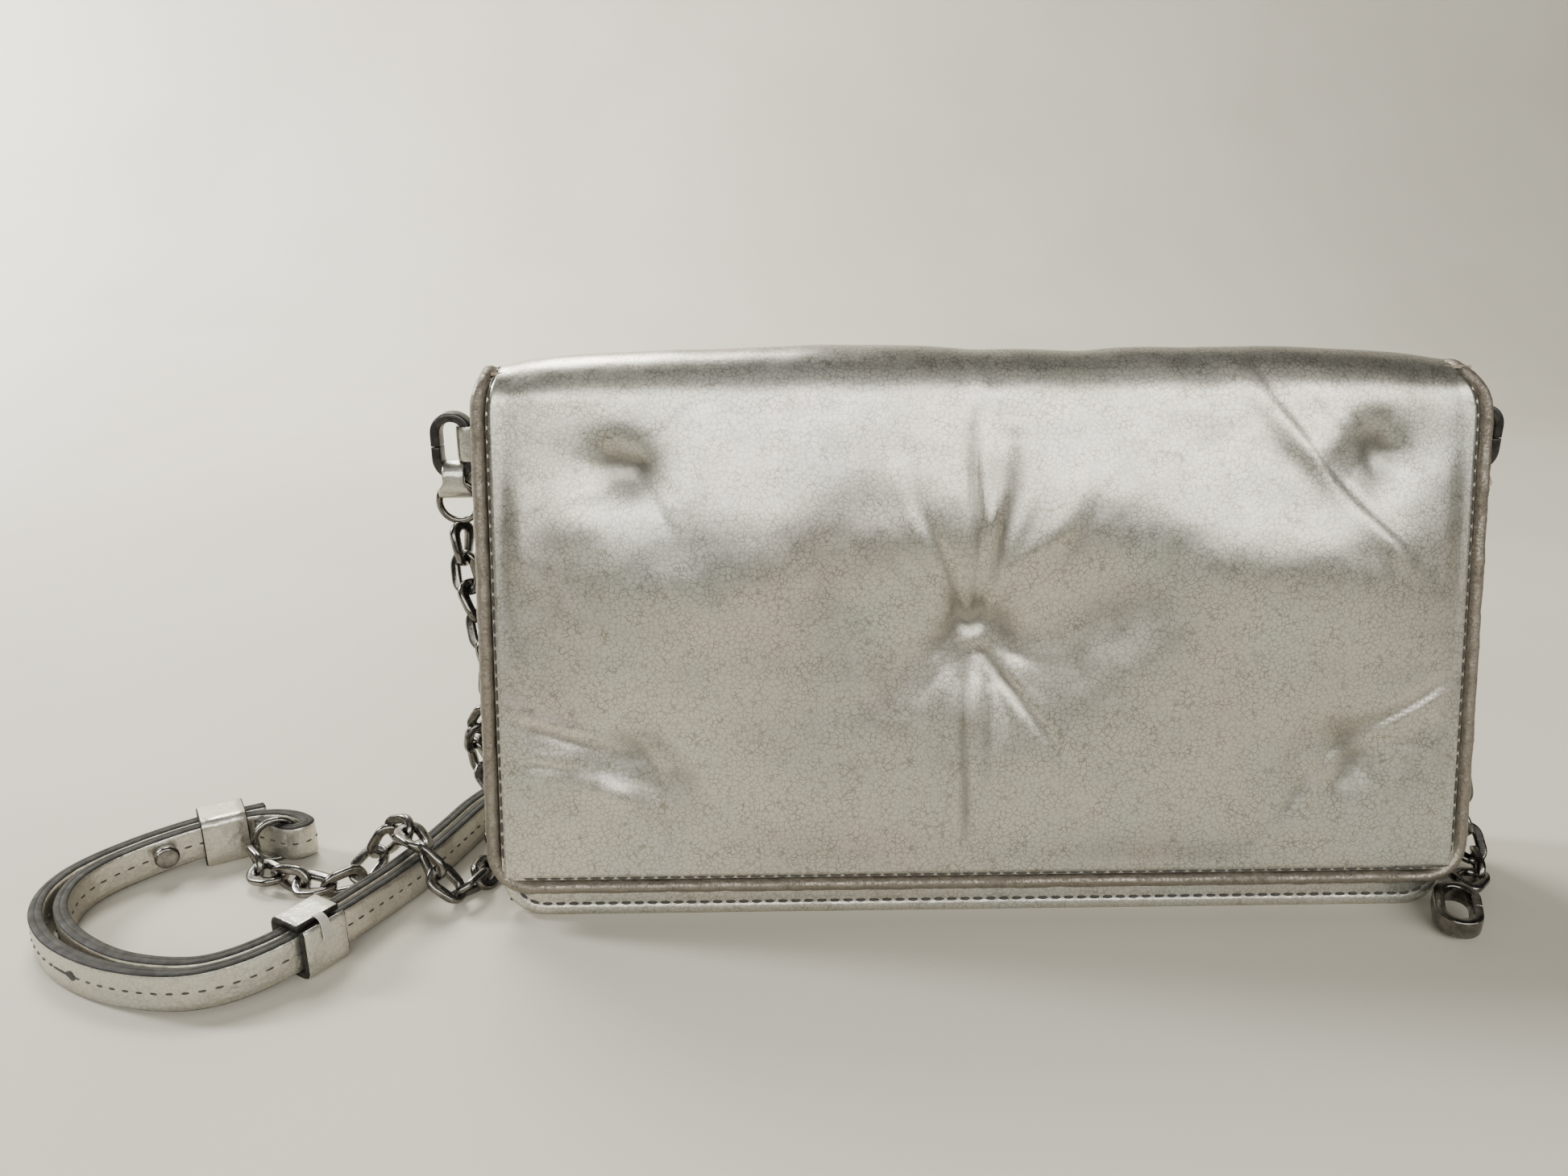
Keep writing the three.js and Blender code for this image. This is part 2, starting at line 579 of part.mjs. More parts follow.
const base = box(-89, -12.6, 0, 89, BACK_FOOT - BINDING_DEPTH - 1, BASE_TOP);
wallet.add(mesh('base_panel', base, 'silver_leather'));
wallet.add(gusset('left_gusset', -1), gusset('right_gusset', 1));

for (const [word, ringX] of [['left', LEFT_RING_X], ['right', RIGHT_RING_X]]) {
  wallet.add(ringTab(`${word}_ring_tab`, ringX));
  wallet.add(sideRing(`${word}_ring`, ringX));
  wallet.add(chainTab(`${word}_chain_tab`, ringX));
  wallet.add(chainStartRing(`${word}_chain_ring`, ringX));
}
wallet.add(mesh('left_chain', tube(LEFT_CHAIN_ROUTE, CHAIN_DIAMETER, 8, 50), 'gunmetal'));
wallet.add(mesh('right_chain_upper', tube(RIGHT_UPPER_CHAIN_ROUTE, CHAIN_DIAMETER, 8, 20), 'gunmetal'));
wallet.add(mesh('right_chain_lower', tube(RIGHT_LOWER_CHAIN_ROUTE, CHAIN_DIAMETER, 8, 24), 'gunmetal'));
wallet.add(cornerLink());

wallet.add(mesh('strap', strapGeometry(), 'silver_leather'));
wallet.add(keeper('sliding_keeper', SLIDING_KEEPER));
wallet.add(keeper('sewn_keeper', SEWN_KEEPER));
wallet.add(strapStud());
wallet.add(endRing('left_strap_ring', LEFT_END_HOLE));
wallet.add(endRing('right_strap_ring', RIGHT_END_HOLE));
wallet.position.y = -MIDDLE_Y;

export default wallet;
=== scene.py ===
import math

import bpy
import numpy as np
from mathutils import Matrix, Vector, noise


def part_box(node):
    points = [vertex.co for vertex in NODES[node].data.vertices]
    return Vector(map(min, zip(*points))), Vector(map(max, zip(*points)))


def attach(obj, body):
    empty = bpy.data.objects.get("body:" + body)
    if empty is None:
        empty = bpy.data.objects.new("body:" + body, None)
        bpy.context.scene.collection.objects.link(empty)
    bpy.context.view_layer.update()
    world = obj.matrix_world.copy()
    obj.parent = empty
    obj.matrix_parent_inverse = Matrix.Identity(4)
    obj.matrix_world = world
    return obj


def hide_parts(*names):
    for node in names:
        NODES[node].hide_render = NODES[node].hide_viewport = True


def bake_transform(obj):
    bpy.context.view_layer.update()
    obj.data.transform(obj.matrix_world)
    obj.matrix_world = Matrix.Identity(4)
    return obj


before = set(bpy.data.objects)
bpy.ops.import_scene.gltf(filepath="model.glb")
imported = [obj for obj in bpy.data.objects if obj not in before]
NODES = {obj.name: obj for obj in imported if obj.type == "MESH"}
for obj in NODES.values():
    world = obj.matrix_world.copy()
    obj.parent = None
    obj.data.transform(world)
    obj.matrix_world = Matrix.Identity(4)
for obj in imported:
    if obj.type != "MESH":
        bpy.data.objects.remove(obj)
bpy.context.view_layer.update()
UP = np.array([0, 0, 1.0])

# ---- driving dimensions ----
MM = 0.001
MIDDLE_Y = 4.527            # the frame's origin, in the millimetre coordinates used here
WIDTH = 200.0
FRONT_LEAN = math.radians(11)
BACK_LEAN = math.radians(6)
FRONT_FOOT = -19.1
BACK_FOOT = 15.6
FLAP_LOW = 6.8              # the flap's lower edge, measured up the front slope
BACK_LOW = 0.4
FRONT_CREASE = 111.0        # the crease lines, measured up their slopes, 1 mm inside the faces
BACK_CREASE = 105.5
SPINE_EDGE = 1.0
SPINE_RISE = 1.2            # the leather's base line above the spine's crease plane
SHELL_RADIUS = 6.5          # how the leather rolls over the two creases
BINDING_WIDTH = 3.0
BINDING_DEPTH = 3.4
FLAP_CORNER = 9.0
SEAM_INSET = 3.3            # the padded leather starts this far inside the outer edge
SEAM_RISE = 0.5
PAD_RISE = 2.2              # the padding's height where it crosses the spine
STITCH_PITCH = 2.7
BODY_WIDTH = 196.0
BODY_LOW = 0.9
BODY_TOP = 95.0
BODY_FACE = 3.9             # the front panel's face, inwards from the flap's face
LEATHER = 1.4
LEFT_RING_X = -106.9
RIGHT_RING_X = 105.5
RING_Y = 14.2
RING_Z = 93.1
RING_LENGTH = 14.0
RING_WIDTH = 8.8
RING_BAND = 2.0
RING_DEPTH = 4.0
RING_JOINT = 0.24           # the gap between the ends of an oblong ring's band
START_RING_Z = 81.2
START_RING_RADIUS = 4.1
END_RING_RADIUS = 4.7
END_RING_Z = 5.5
WIRE = 1.5
STRAP_THICKNESS = 2.6
STRAP_WIDTH = 8.0
STRAP_LOW = 1.9
STRAP_REST = 0.35           # the strap's lower edge above the floor, away from the keepers
KEEPER_CLEAR = 7.6
KEEPER_WALL = 1.2
KEEPER_LOW = 0.2
KEEPER_HIGH = 11.6
KEEPER_LENGTH = 9.5

# ---- routes, the same as the part's own ----
STRAP_ROUTE = [
    (-157.5, 10.9), (-153, 9.3), (-149, 8.1), (-146.4, 10.7), (-149, 13.3), (-153.5, 14.4), (-159.4, 13.15),
    (-165, 9.9), (-172.4, 5.65), (-179, 0.7), (-183.8, -4.8), (-185.9, -10.2), (-185.8, -15.6),
    (-183.4, -22), (-178.4, -28.2), (-171.6, -33.6), (-163, -38.2), (-153.7, -40.5), (-147.2, -40.6),
    (-141.5, -38.4), (-135.9, -34), (-132.6, -29), (-129.3, -24), (-125.9, -16.4), (-122, -7.4),
    (-118, 2.8), (-115.2, 11.5), (-112.4, 20.5), (-108.1, 28.6), (-101, 35), (-90, 38.8), (-76, 39.8),
    (-30, 39.8), (14, 39.8), (21.8, 41), (25.3, 38.2), (21.8, 35.4), (14, 36.6), (-30, 36.6), (-76, 36.6),
    (-89, 35.6), (-98.8, 32.1), (-105.2, 26.8), (-109.2, 19.4), (-112.1, 10.6), (-115, 1.6),
    (-119.1, -8.6), (-123, -17.6), (-126.6, -25.7), (-130, -30.7), (-133.3, -35.7), (-139.6, -41),
    (-146.8, -43.8), (-154.2, -43.8), (-164.3, -41.4), (-173.6, -37), (-181.2, -31.4), (-187.2, -24),
    (-190, -16.2), (-189.6, -9), (-186.7, -3), (-181, 3.3), (-174, 8.4), (-166.6, 12.7), (-161.4, 15.7),
    (-158.9, 17.6),
]
LEFT_CHAIN_ROUTE = [
    (-106.9, 14.2, 75.2), (-106.4, 13, 66), (-103.6, 10.4, 56), (-102.2, 9.8, 46), (-103, 11.6, 36),
    (-107.6, 16.4, 28), (-109.4, 19, 22.5),
    (-107.6, 18.5, 17.5), (-104, 15.6, 12.4), (-103.4, 10, 6), (-103.5, 3, 3.2), (-104.9, -6, 3.1),
    (-108.5, -11, 4.2), (-113.4, -10, 10.3), (-118, -5.5, 13.6), (-123, -0.6, 12.1), (-127.6, 0.4, 6.6),
    (-131.4, -4.4, 3.2), (-137.3, -7.2, 3.1), (-145.6, -4.2, 3.1), (-152.6, -1.4, 3.1), (-155.6, 2.6, 3.4),
]
RIGHT_UPPER_CHAIN_ROUTE = [
    (105.5, 14.2, 75.2), (105.6, 13.4, 60), (106.6, 12, 44), (108.2, 10.4, 29), (110.2, 6.6, 15),
    (110.8, 0.6, 6), (109.4, -6.4, 3), (105.2, -10.6, 3.2),
]
RIGHT_LOWER_CHAIN_ROUTE = [
    (102.6, -5.8, 3.1), (103.6, 2, 3.1), (103.6, 12, 3.1), (101.5, 24, 3.1), (93, 35, 3.1), (80, 40.4, 3.1),
    (66, 37.5, 3.1), (52, 36.6, 3.2), (34.8, 38.2, 4.9),
]
LINK_FOOT = (93.2, -28.9, 0.9)
LINK_DIRECTION = (0.4, 0.91, 0.12)
# Pieces on the strap: X and Y of the middle, and the strap's heading there in degrees.
SLIDING_KEEPER = (-165.8, 11.3, 30.5)
SEWN_KEEPER = (-131.3, -29.85, 56.8)
STUD = (-174.7, 2.2, -145.0)
LEFT_END_HOLE = (-148.9, 10.6, 210.0)
RIGHT_END_HOLE = (21.9, 38.2, 0.0)
STRAP_SLOTS = ((-173.6, -37), (-189.6, -9))

# ---- the camera and the lights, in metres ----
CAMERA_LENS = 27.05
CAMERA_PLACE = (-0.042088, -0.231830, 0.138744)
CAMERA_RIGHT = (0.99987838, -0.01457025, -0.00556248)
CAMERA_UP = (0.00973806, 0.30467036, 0.95240808)
# Each light's name, place, aim, size, power in watts and colour.
LIGHTS = (
    ("window", (0.15, -1.10, 0.64), (0, 0, 0.06), (2.7, 0.5), 26.0, (1.0, 0.98, 0.925)),
    ("ceiling", (0.1, -0.60, 1.20), (0, 0, 0.06), (1.6, 0.7), 1.2, (1.0, 0.98, 0.925)),
    ("top", (-0.35, 0.55, 0.90), (0, 0, 0.03), (0.4, 0.4), 11.5, (1.0, 0.975, 0.905)),
    ("wall", (-1.25, 0.35, 0.75), (-0.75, 1.0, 0.35), (0.4, 0.4), 44.0, (1.0, 0.995, 0.985)),
)
WORLD_COLOUR = (0.62, 0.63, 0.64)
WORLD_STRENGTH = 0.06


# ---- places ----
def to_frame(points):
    """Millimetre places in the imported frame."""
    return (np.asarray(points, float) - (0, MIDDLE_Y, 0)) * MM


def on_front(x, up, out):
    """A point that far up the front slope and that far out from the flap's face."""
    c, s = math.cos(FRONT_LEAN), math.sin(FRONT_LEAN)
    return np.array([x, FRONT_FOOT + up * s - out * c, up * c + out * s])


def on_back(x, up, out):
    """The same on the back, out from the back's face."""
    c, s = math.cos(BACK_LEAN), math.sin(BACK_LEAN)
    return np.array([x, BACK_FOOT + up * s + out * c, up * c - out * s])


def unit(v):
    """Vectors at length 1."""
    v = np.asarray(v, float)
    return v / np.maximum(np.linalg.norm(v, axis=-1, keepdims=True), 1e-12)


def smoothstep(x):
    """0 to 1 with soft ends, held outside them."""
    x = np.clip(x, 0, 1)
    return x * x * (3 - 2 * x)


def lengths(points):
    """How far along the line each of its points is."""
    return np.concatenate([[0], np.cumsum(np.linalg.norm(np.diff(points, axis=0), axis=1))])


def at_lengths(points, along, at):
    """The line's points, or other values it carries, at those lengths along it."""
    return np.stack([np.interp(at, along, column) for column in np.asarray(points).T], axis=-1)


def resampled(points, step):
    """The same line with its points about one step apart."""
    along = lengths(points)
    return at_lengths(points, along, np.linspace(0, along[-1], max(2, round(along[-1] / step) + 1)))


def heading_axes(degrees):
    """The directions along a heading on the floor and to the right of it."""
    turn = math.radians(degrees)
    return (np.array([math.cos(turn), math.sin(turn), 0]),
            np.array([math.sin(turn), -math.cos(turn), 0]))


def smooth_route(route, step):
    """Points one step apart on a centripetal Catmull-Rom curve through the route's own points."""
    p = np.array(route, float)
    p = np.vstack([2 * p[0] - p[1], p, 2 * p[-1] - p[-2]])
    made = []
    for a, b, c, d in zip(p, p[1:], p[2:], p[3:]):
        knots = np.cumsum([0] + [np.linalg.norm(v - u) ** 0.5 for u, v in ((a, b), (b, c), (c, d))])
        t0, t1, t2, t3 = knots
        t = np.linspace(t1, t2, 40, endpoint=False)[:, None]
        ab = ((t1 - t) * a + (t - t0) * b) / (t1 - t0)
        bc = ((t2 - t) * b + (t - t1) * c) / (t2 - t1)
        cd = ((t3 - t) * c + (t - t2) * d) / (t3 - t2)
        abc = ((t2 - t) * ab + (t - t0) * bc) / (t2 - t0)
        bcd = ((t3 - t) * bc + (t - t1) * cd) / (t3 - t1)
        made.append(((t2 - t) * abc + (t - t1) * bcd) / (t2 - t1))
    made.append(p[-2:-1])
    return resampled(np.vstack(made), step)


# ---- meshes ----
def grid_faces(rows, columns, around=False, first=0):
    """Faces of a grid of points, row by row; around joins the last column to the first."""
    r, c = np.meshgrid(np.arange(rows - 1), np.arange(columns if around else columns - 1), indexing="ij")
    r, c = r.ravel(), c.ravel()
    d = (c + 1) % columns
    return (first + np.stack([r * columns + c, r * columns + d, (r + 1) * columns + d,
                              (r + 1) * columns + c], axis=1)).tolist()


def make_piece(name, points, faces, materials, face_materials=None, slot=None):
    """A smooth-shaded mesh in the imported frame, from points in millimetres."""
    data = bpy.data.meshes.new(name)
    data.from_pydata(to_frame(points).tolist(), [], faces)
    for material in materials if isinstance(materials, list) else [materials]:
        data.materials.append(material)
    if face_materials is not None:
        data.polygons.foreach_set("material_index", np.asarray(face_materials, np.int32))
    data.shade_smooth()
    data.validate()
    piece = bpy.data.objects.new(name, data)
    bpy.context.scene.collection.objects.link(piece)
    return piece


def ellipse_profile(width, height, power, count):
    """A closed rounded section; a power above 2 makes it squarer."""
    angle = np.arange(count) * 2 * math.pi / count
    c, s = np.cos(angle), np.sin(angle)
    x = np.sign(c) * np.abs(c) ** (2 / power) * width / 2
    y = np.sign(s) * np.abs(s) ** (2 / power) * height / 2
    return np.stack([x, y], axis=1)


def sweep(centres, side, up, profile, closed=False, widths=None):
    """Points and faces of a section swept along a line. Profile X lies along side and profile Y along up."""
    centres = np.asarray(centres, float)
    side = np.broadcast_to(side, centres.shape)
    up = np.broadcast_to(up, centres.shape)
    scale = np.ones(len(centres)) if widths is None else np.asarray(widths, float)
    rings = (centres[:, None] + side[:, None] * profile[None, :, :1]
             + up[:, None] * profile[None, :, 1:] * scale[:, None, None])
    rows, columns = rings.shape[:2]
    faces = grid_faces(rows, columns, around=True)
    if closed:
        last = (rows - 1) * columns
        faces += [[last + c, last + (c + 1) % columns, (c + 1) % columns, c] for c in range(columns)]
    else:
        faces += [list(range(columns))[::-1], [(rows - 1) * columns + c for c in range(columns)]]
    return rings.reshape(-1, 3), faces


def joined(parts):
    """Several (points, faces) pairs as one."""
    points, faces, first = [], [], 0
    for p, f in parts:
        points.append(p)
        faces += [[i + first for i in face] for face in f]
        first += len(p)
    return np.vstack(points), faces


def tangents(points, closed=False):
    """The line's direction at each of its points."""
    if closed:
        return unit(np.roll(points, -1, axis=0) - np.roll(points, 1, axis=0))
    return unit(np.gradient(points, axis=0))


def stadium(length, width, step):
    """The closed line of an oblong with round ends, long along its second axis."""
    radius, straight = width / 2, (length - width) / 2
    turn = np.linspace(0, math.pi, max(6, round(math.pi * radius / step)))
    top = np.stack([radius * np.cos(turn), straight + radius * np.sin(turn)], axis=1)
    run = np.linspace(straight, -straight, max(2, round(2 * straight / step)))[1:-1]
    left = np.stack([np.full(len(run), -radius), run], axis=1)
    return np.vstack([top, left, -top, -left])


# ---- material building blocks ----
class Nodes:
    """Short calls for a material's node tree. Places are in millimetres on the object."""

    def __init__(self, name):
        self.material = bpy.data.materials.new(name)
        self.material.use_nodes = True
        self.tree = self.material.node_tree
        self.shader = self.tree.nodes["Principled BSDF"]
        place = self.tree.nodes.new("ShaderNodeTexCoord")
        scale = self.tree.nodes.new("ShaderNodeVectorMath")
        scale.operation = "SCALE"
        scale.inputs["Scale"].default_value = 1 / MM
        self.tree.links.new(place.outputs["Object"], scale.inputs[0])
        self.place = scale.outputs[0]

    def link(self, source, target):
        self.tree.links.new(source, target)

    def noise(self, size, detail=3.0, roughness=0.55, distortion=0.0):
        node = self.tree.nodes.new("ShaderNodeTexNoise")
        node.inputs["Scale"].default_value = 1 / size
        node.inputs["Detail"].default_value = detail
        node.inputs["Roughness"].default_value = roughness
        node.inputs["Distortion"].default_value = distortion
        self.link(self.place, node.inputs["Vector"])
        return node.outputs["Fac"]

    def cracks(self, size):
        """0 along the edges of small warped cells, and higher inside them."""
        warp = self.tree.nodes.new("ShaderNodeTexNoise")
        warp.inputs["Scale"].default_value = 1 / size
        self.link(self.place, warp.inputs["Vector"])
        moved = self.tree.nodes.new("ShaderNodeVectorMath")
        moved.operation = "MULTIPLY_ADD"
        self.link(warp.outputs["Color"], moved.inputs[0])
        moved.inputs[1].default_value = (size, size, size)
        self.link(self.place, moved.inputs[2])
        node = self.tree.nodes.new("ShaderNodeTexVoronoi")
        node.feature = "DISTANCE_TO_EDGE"
        node.inputs["Scale"].default_value = 1 / size
        node.inputs["Randomness"].default_value = 1.0
        self.link(moved.outputs[0], node.inputs["Vector"])
        return node.outputs["Distance"]

    def attribute(self, name):
        node = self.tree.nodes.new("ShaderNodeAttribute")
        node.attribute_name = name
        return node.outputs["Fac"]

    def between(self, value, low, high, to_low=0.0, to_high=1.0):
        node = self.tree.nodes.new("ShaderNodeMapRange")
        node.interpolation_type = "SMOOTHSTEP"
        self.link(value, node.inputs["Value"])
        for socket, number in zip(("From Min", "From Max", "To Min", "To Max"), (low, high, to_low, to_high)):
            node.inputs[socket].default_value = number
        return node.outputs["Result"]

    def maths(self, operation, a, b):
        node = self.tree.nodes.new("ShaderNodeMath")
        node.operation = operation
        for socket, value in zip(node.inputs, (a, b)):
            if isinstance(value, (int, float)):
                socket.default_value = value
            else:
                self.link(value, socket)
        return node.outputs[0]

    def mix(self, amount, a, b):
        node = self.tree.nodes.new("ShaderNodeMix")
        node.data_type = "RGBA"
        self.link(amount, node.inputs["Factor"])
        for socket, value in zip((node.inputs["A"], node.inputs["B"]), (a, b)):
            if isinstance(value, tuple):
                socket.default_value = (*value, 1)
            else:
                self.link(value, socket)
        return node.outputs["Result"]

    def bump(self, height, distance, strength=1.0, under=None):
        """distance is the bump's height in millimetres."""
        node = self.tree.nodes.new("ShaderNodeBump")
        node.inputs["Strength"].default_value = strength
        node.inputs["Distance"].default_value = distance * MM
        self.link(height, node.inputs["Height"])
        if under is not None:
            self.link(under, node.inputs["Normal"])
        return node.outputs["Normal"]

    def finish(self, colour, roughness, metallic=0.0, normal=None):
        for name, value in (("Base Color", colour), ("Roughness", roughness), ("Metallic", metallic)):
            socket = self.shader.inputs[name]
            if isinstance(value, tuple):
                socket.default_value = (*value, 1)
            elif isinstance(value, (int, float)):
                socket.default_value = value
            else:
                self.link(value, socket)
        if normal is not None:
            self.link(normal, self.shader.inputs["Normal"])
        return self.material


def silver_leather(name, crackle=1.0, crinkle=0.0):
    """Foil-coated silver leather: a fine crackle, soft tints, hollows darkened as painted shade and a grain
    in the sheen.
    """
    n = Nodes(name)
    cracks = n.cracks(1.05)
    lines = n.between(cracks, 0.0, 0.13, 1.0, 0.0)
    patches = n.between(n.noise(14, 4), 0.42, 0.62)
    worn = n.maths("MULTIPLY", lines, n.between(n.noise(3.5, 3), 0.3, 0.7, 0.5, 1.0))
    worn = n.maths("MULTIPLY", worn, 0.9 * crackle)
    tint = n.mix(n.between(n.noise(26, 3), 0.35, 0.65), (0.53, 0.52, 0.455), (0.565, 0.53, 0.475))
    tint = n.mix(n.between(n.noise(33, 2), 0.5, 0.72), tint, (0.53, 0.54, 0.49))
    tint = n.mix(n.maths("MULTIPLY", patches, 0.12), tint, (0.49, 0.465, 0.40))
    in_cracks, painted_hollow_shade = (0.25, 0.23, 0.19), (0.20, 0.19, 0.165)
    colour = n.mix(worn, tint, in_cracks)
    # Painted shade: the leather turns darker where the 'hollow' value says it lies below the padding around
    # it.
    colour = n.mix(n.maths("MULTIPLY", n.attribute("hollow"), 0.75), colour, painted_hollow_shade)
    roughness = n.between(n.noise(4.0, 2), 0.3, 0.7, 0.31, 0.37)
    normal = n.bump(n.noise(5.5, 0.5 + 2 * crinkle), 0.04 + 0.2 * crinkle)
    normal = n.bump(n.noise(1.7, 3), 0.16 * crinkle, 1.0, normal)
    normal = n.bump(n.between(cracks, 0.0, 0.4), 0.005, 1.0, normal)
    n.shader.inputs["Specular IOR Level"].default_value = 0.5
    return n.finish(colour, roughness, 0.9, normal)


def worn_edge(name):
    """Silver binding rubbed down to beige leather in speckles."""
    n = Nodes(name)
    speckle = n.noise(0.55, 6, 0.75)
    patch = n.noise(9, 3)
    rubbed = n.between(n.maths("ADD", speckle, n.maths("MULTIPLY", patch, 0.5)), 0.58, 0.92)
    bare = n.mix(n.between(n.noise(1.5, 4), 0.35, 0.65), (0.085, 0.07, 0.052), (0.165, 0.14, 0.106))
    colour = n.mix(rubbed, (0.26, 0.237, 0.197), bare)
    roughness = n.between(rubbed, 0, 1, 0.34, 0.62)
    metallic = n.between(rubbed, 0, 1, 0.92, 0.25)
    normal = n.bump(n.noise(1.1, 5, 0.65), 0.16, 0.9)
    normal = n.bump(n.cracks(0.6), 0.06, 0.8, normal)
    return n.finish(colour, roughness, metallic, normal)


def painted_edge(name):
    """The sealed cut edge of leather: dark olive grey paint with dry patches."""
    n = Nodes(name)
    dry = n.between(n.noise(1.6, 5, 0.65), 0.35, 0.68)
    colour = n.mix(dry, (0.011, 0.0105, 0.009), (0.030, 0.028, 0.0235))
    normal = n.bump(n.noise(0.8, 4), 0.05, 0.8)
    n.shader.inputs["Specular IOR Level"].default_value = 0.25
    return n.finish(colour, n.between(n.noise(2.5, 3), 0.3, 0.7, 0.55, 0.7), 0.0, normal)


def gunmetal(name, dark, light, rough):
    """Plated steel with rubbed high spots and fine handling marks."""
    n = Nodes(name)
    colour = n.mix(n.between(n.noise(2.4, 5, 0.65), 0.32, 0.7), dark, light)
    scratches = n.noise(0.5, 6, 0.75, 1.5)
    roughness = n.between(scratches, 0.3, 0.72, rough, rough + 0.16)
    normal = n.bump(scratches, 0.012, 0.7)
    return n.finish(colour, roughness, 1.0, normal)


def thread(name, dark, light):
    """Twisted thread, darker between its plies."""
    n = Nodes(name)
    ply = n.noise(0.16, 2, 0.5, 2.0)
    colour = n.mix(n.between(ply, 0.3, 0.7), dark, light)
    return n.finish(colour, 0.72, 0.0, n.bump(ply, 0.05, 0.9))


def dark_lining(name):
    """Black grained lining leather."""
    n = Nodes(name)
    pebbles = n.cracks(0.9)
    colour = n.mix(n.between(n.noise(12, 4), 0.35, 0.65), (0.018, 0.018, 0.018), (0.025, 0.024, 0.024))
    normal = n.bump(n.between(pebbles, 0, 0.3), 0.07, 0.8)
    return n.finish(colour, n.between(n.noise(3, 3), 0.3, 0.7, 0.5, 0.68), 0.0, normal)


def stiff_board(name):
    """Brown fibre board, the stiffener inside the covers."""
    n = Nodes(name)
    colour = n.mix(n.between(n.noise(1.2, 6, 0.7), 0.3, 0.7), (0.24, 0.20, 0.15), (0.36, 0.31, 0.24))
    return n.finish(colour, 0.85, 0.0, n.bump(n.noise(0.6, 4), 0.05, 0.8))


def woven_tape(name):
    """The zip's black ribbed tape."""
    n = Nodes(name)
    weave = n.tree.nodes.new("ShaderNodeTexWave")
    weave.inputs["Scale"].default_value = 0.9
    weave.inputs["Distortion"].default_value = 0.6
    n.link(n.place, weave.inputs["Vector"])
    colour = n.mix(weave.outputs["Fac"], (0.010, 0.010, 0.011), (0.032, 0.032, 0.033))
    return n.finish(colour, 0.85, 0.0, n.bump(weave.outputs["Fac"], 0.08, 0.8))


def pale_floor(name):
    """Pale primed canvas, kept plain."""
    n = Nodes(name)
    colour = n.mix(n.between(n.noise(240, 3), 0.35, 0.65), (0.55, 0.52, 0.44), (0.59, 0.562, 0.48))
    return n.finish(colour, 0.75, 0.0, n.bump(n.noise(0.9, 2), 0.05, 0.5))


SILVER = silver_leather("silver_leather")
STRAP_SILVER = silver_leather("strap_silver", crackle=0.5, crinkle=1.0)
EDGE = worn_edge("worn_binding")
PAINTED = painted_edge("painted_edge")
STEEL = gunmetal("gunmetal", (0.115, 0.109, 0.10), (0.25, 0.24, 0.222), 0.16)
DARK_STEEL = gunmetal("dark_gunmetal", (0.035, 0.034, 0.033), (0.085, 0.083, 0.08), 0.3)
THREAD = thread("dark_thread", (0.025, 0.024, 0.022), (0.075, 0.072, 0.066))
PALE_THREAD = thread("pale_thread", (0.34, 0.325, 0.29), (0.54, 0.52, 0.465))
LINING = dark_lining("lining_leather")
BOARD = stiff_board("stiffener_board")
TAPE = woven_tape("zip_tape")


# ---- camera and light ----
def make_camera():
    """The main view, from the front and a little above the wallet."""
    camera = bpy.data.cameras.new("camera")
    camera.sensor_fit = "HORIZONTAL"
    camera.sensor_width = 36
    camera.lens = CAMERA_LENS
    camera.clip_start = 0.01
    camera.clip_end = 20
    right, up = Vector(CAMERA_RIGHT), Vector(CAMERA_UP)
    place = Matrix((right, up, right.cross(up))).transposed().to_4x4()
    place.translation = CAMERA_PLACE
    holder = bpy.data.objects.new("camera", camera)
    holder.matrix_world = place
    bpy.context.scene.collection.objects.link(holder)
    bpy.context.scene.camera = holder


def make_area_light(name, place, target, size, power, colour):
    """A soft rectangular light that aims at the target."""
    light = bpy.data.lights.new(name, "AREA")
    light.shape = "RECTANGLE"
    light.size, light.size_y = size
    light.energy = power
    light.color = colour
    holder = bpy.data.objects.new(name, light)
    holder.location = place
    holder.rotation_euler = (Vector(target) - Vector(place)).to_track_quat("-Z", "Y").to_euler()
    bpy.context.scene.collection.objects.link(holder)


def make_stage():
    """A pale floor that runs up into a curved backdrop well behind the object, and soft light."""
    near, flat, reach, rise, bend = -420.0, 600, 1600.0, 900.0, 500.0
    turn = np.linspace(0, math.pi / 2, 16)
    line = [(near, 0.0)] + [(flat + bend * math.sin(a), bend - bend * math.cos(a)) for a in turn]
    line.append((flat + bend, bend + rise))
    points = [(x, y, z) for y, z in line for x in (-reach, reach)]
    floor = make_piece("floor", points, grid_faces(len(line), 2), pale_floor("pale_canvas"))
    for light in LIGHTS:
        make_area_light(*light)
    world = bpy.data.worlds.new("studio")
    world.use_nodes = True
    background = world.node_tree.nodes["Background"]
    background.inputs["Color"].default_value = (*WORLD_COLOUR, 1)
    background.inputs["Strength"].default_value = WORLD_STRENGTH
    bpy.context.scene.world = world


make_camera()
make_stage()


# ---- chains ----
LINK_LENGTH = 10.0
LINK_WIDTH = 7.0
LINK_WIRE = 2.1
LINK_FLAT = 1.5             # a link's wire is filed flat to this thickness
LINK_PITCH = 6.1
LINK_FIRST = LINK_LENGTH * 0.3      # the first and last links' middles, from the route's ends
LINK_LAST = 0.6
LINK_TWIST = math.radians(38)
LINK_ROLLS = (math.radians(-42), math.radians(38))
LINK_LOOSE = 0.2            # the most that a link's roll strays, in radians
FIRST_LINK_FACE = np.array([0.35, -0.8, 0.5])


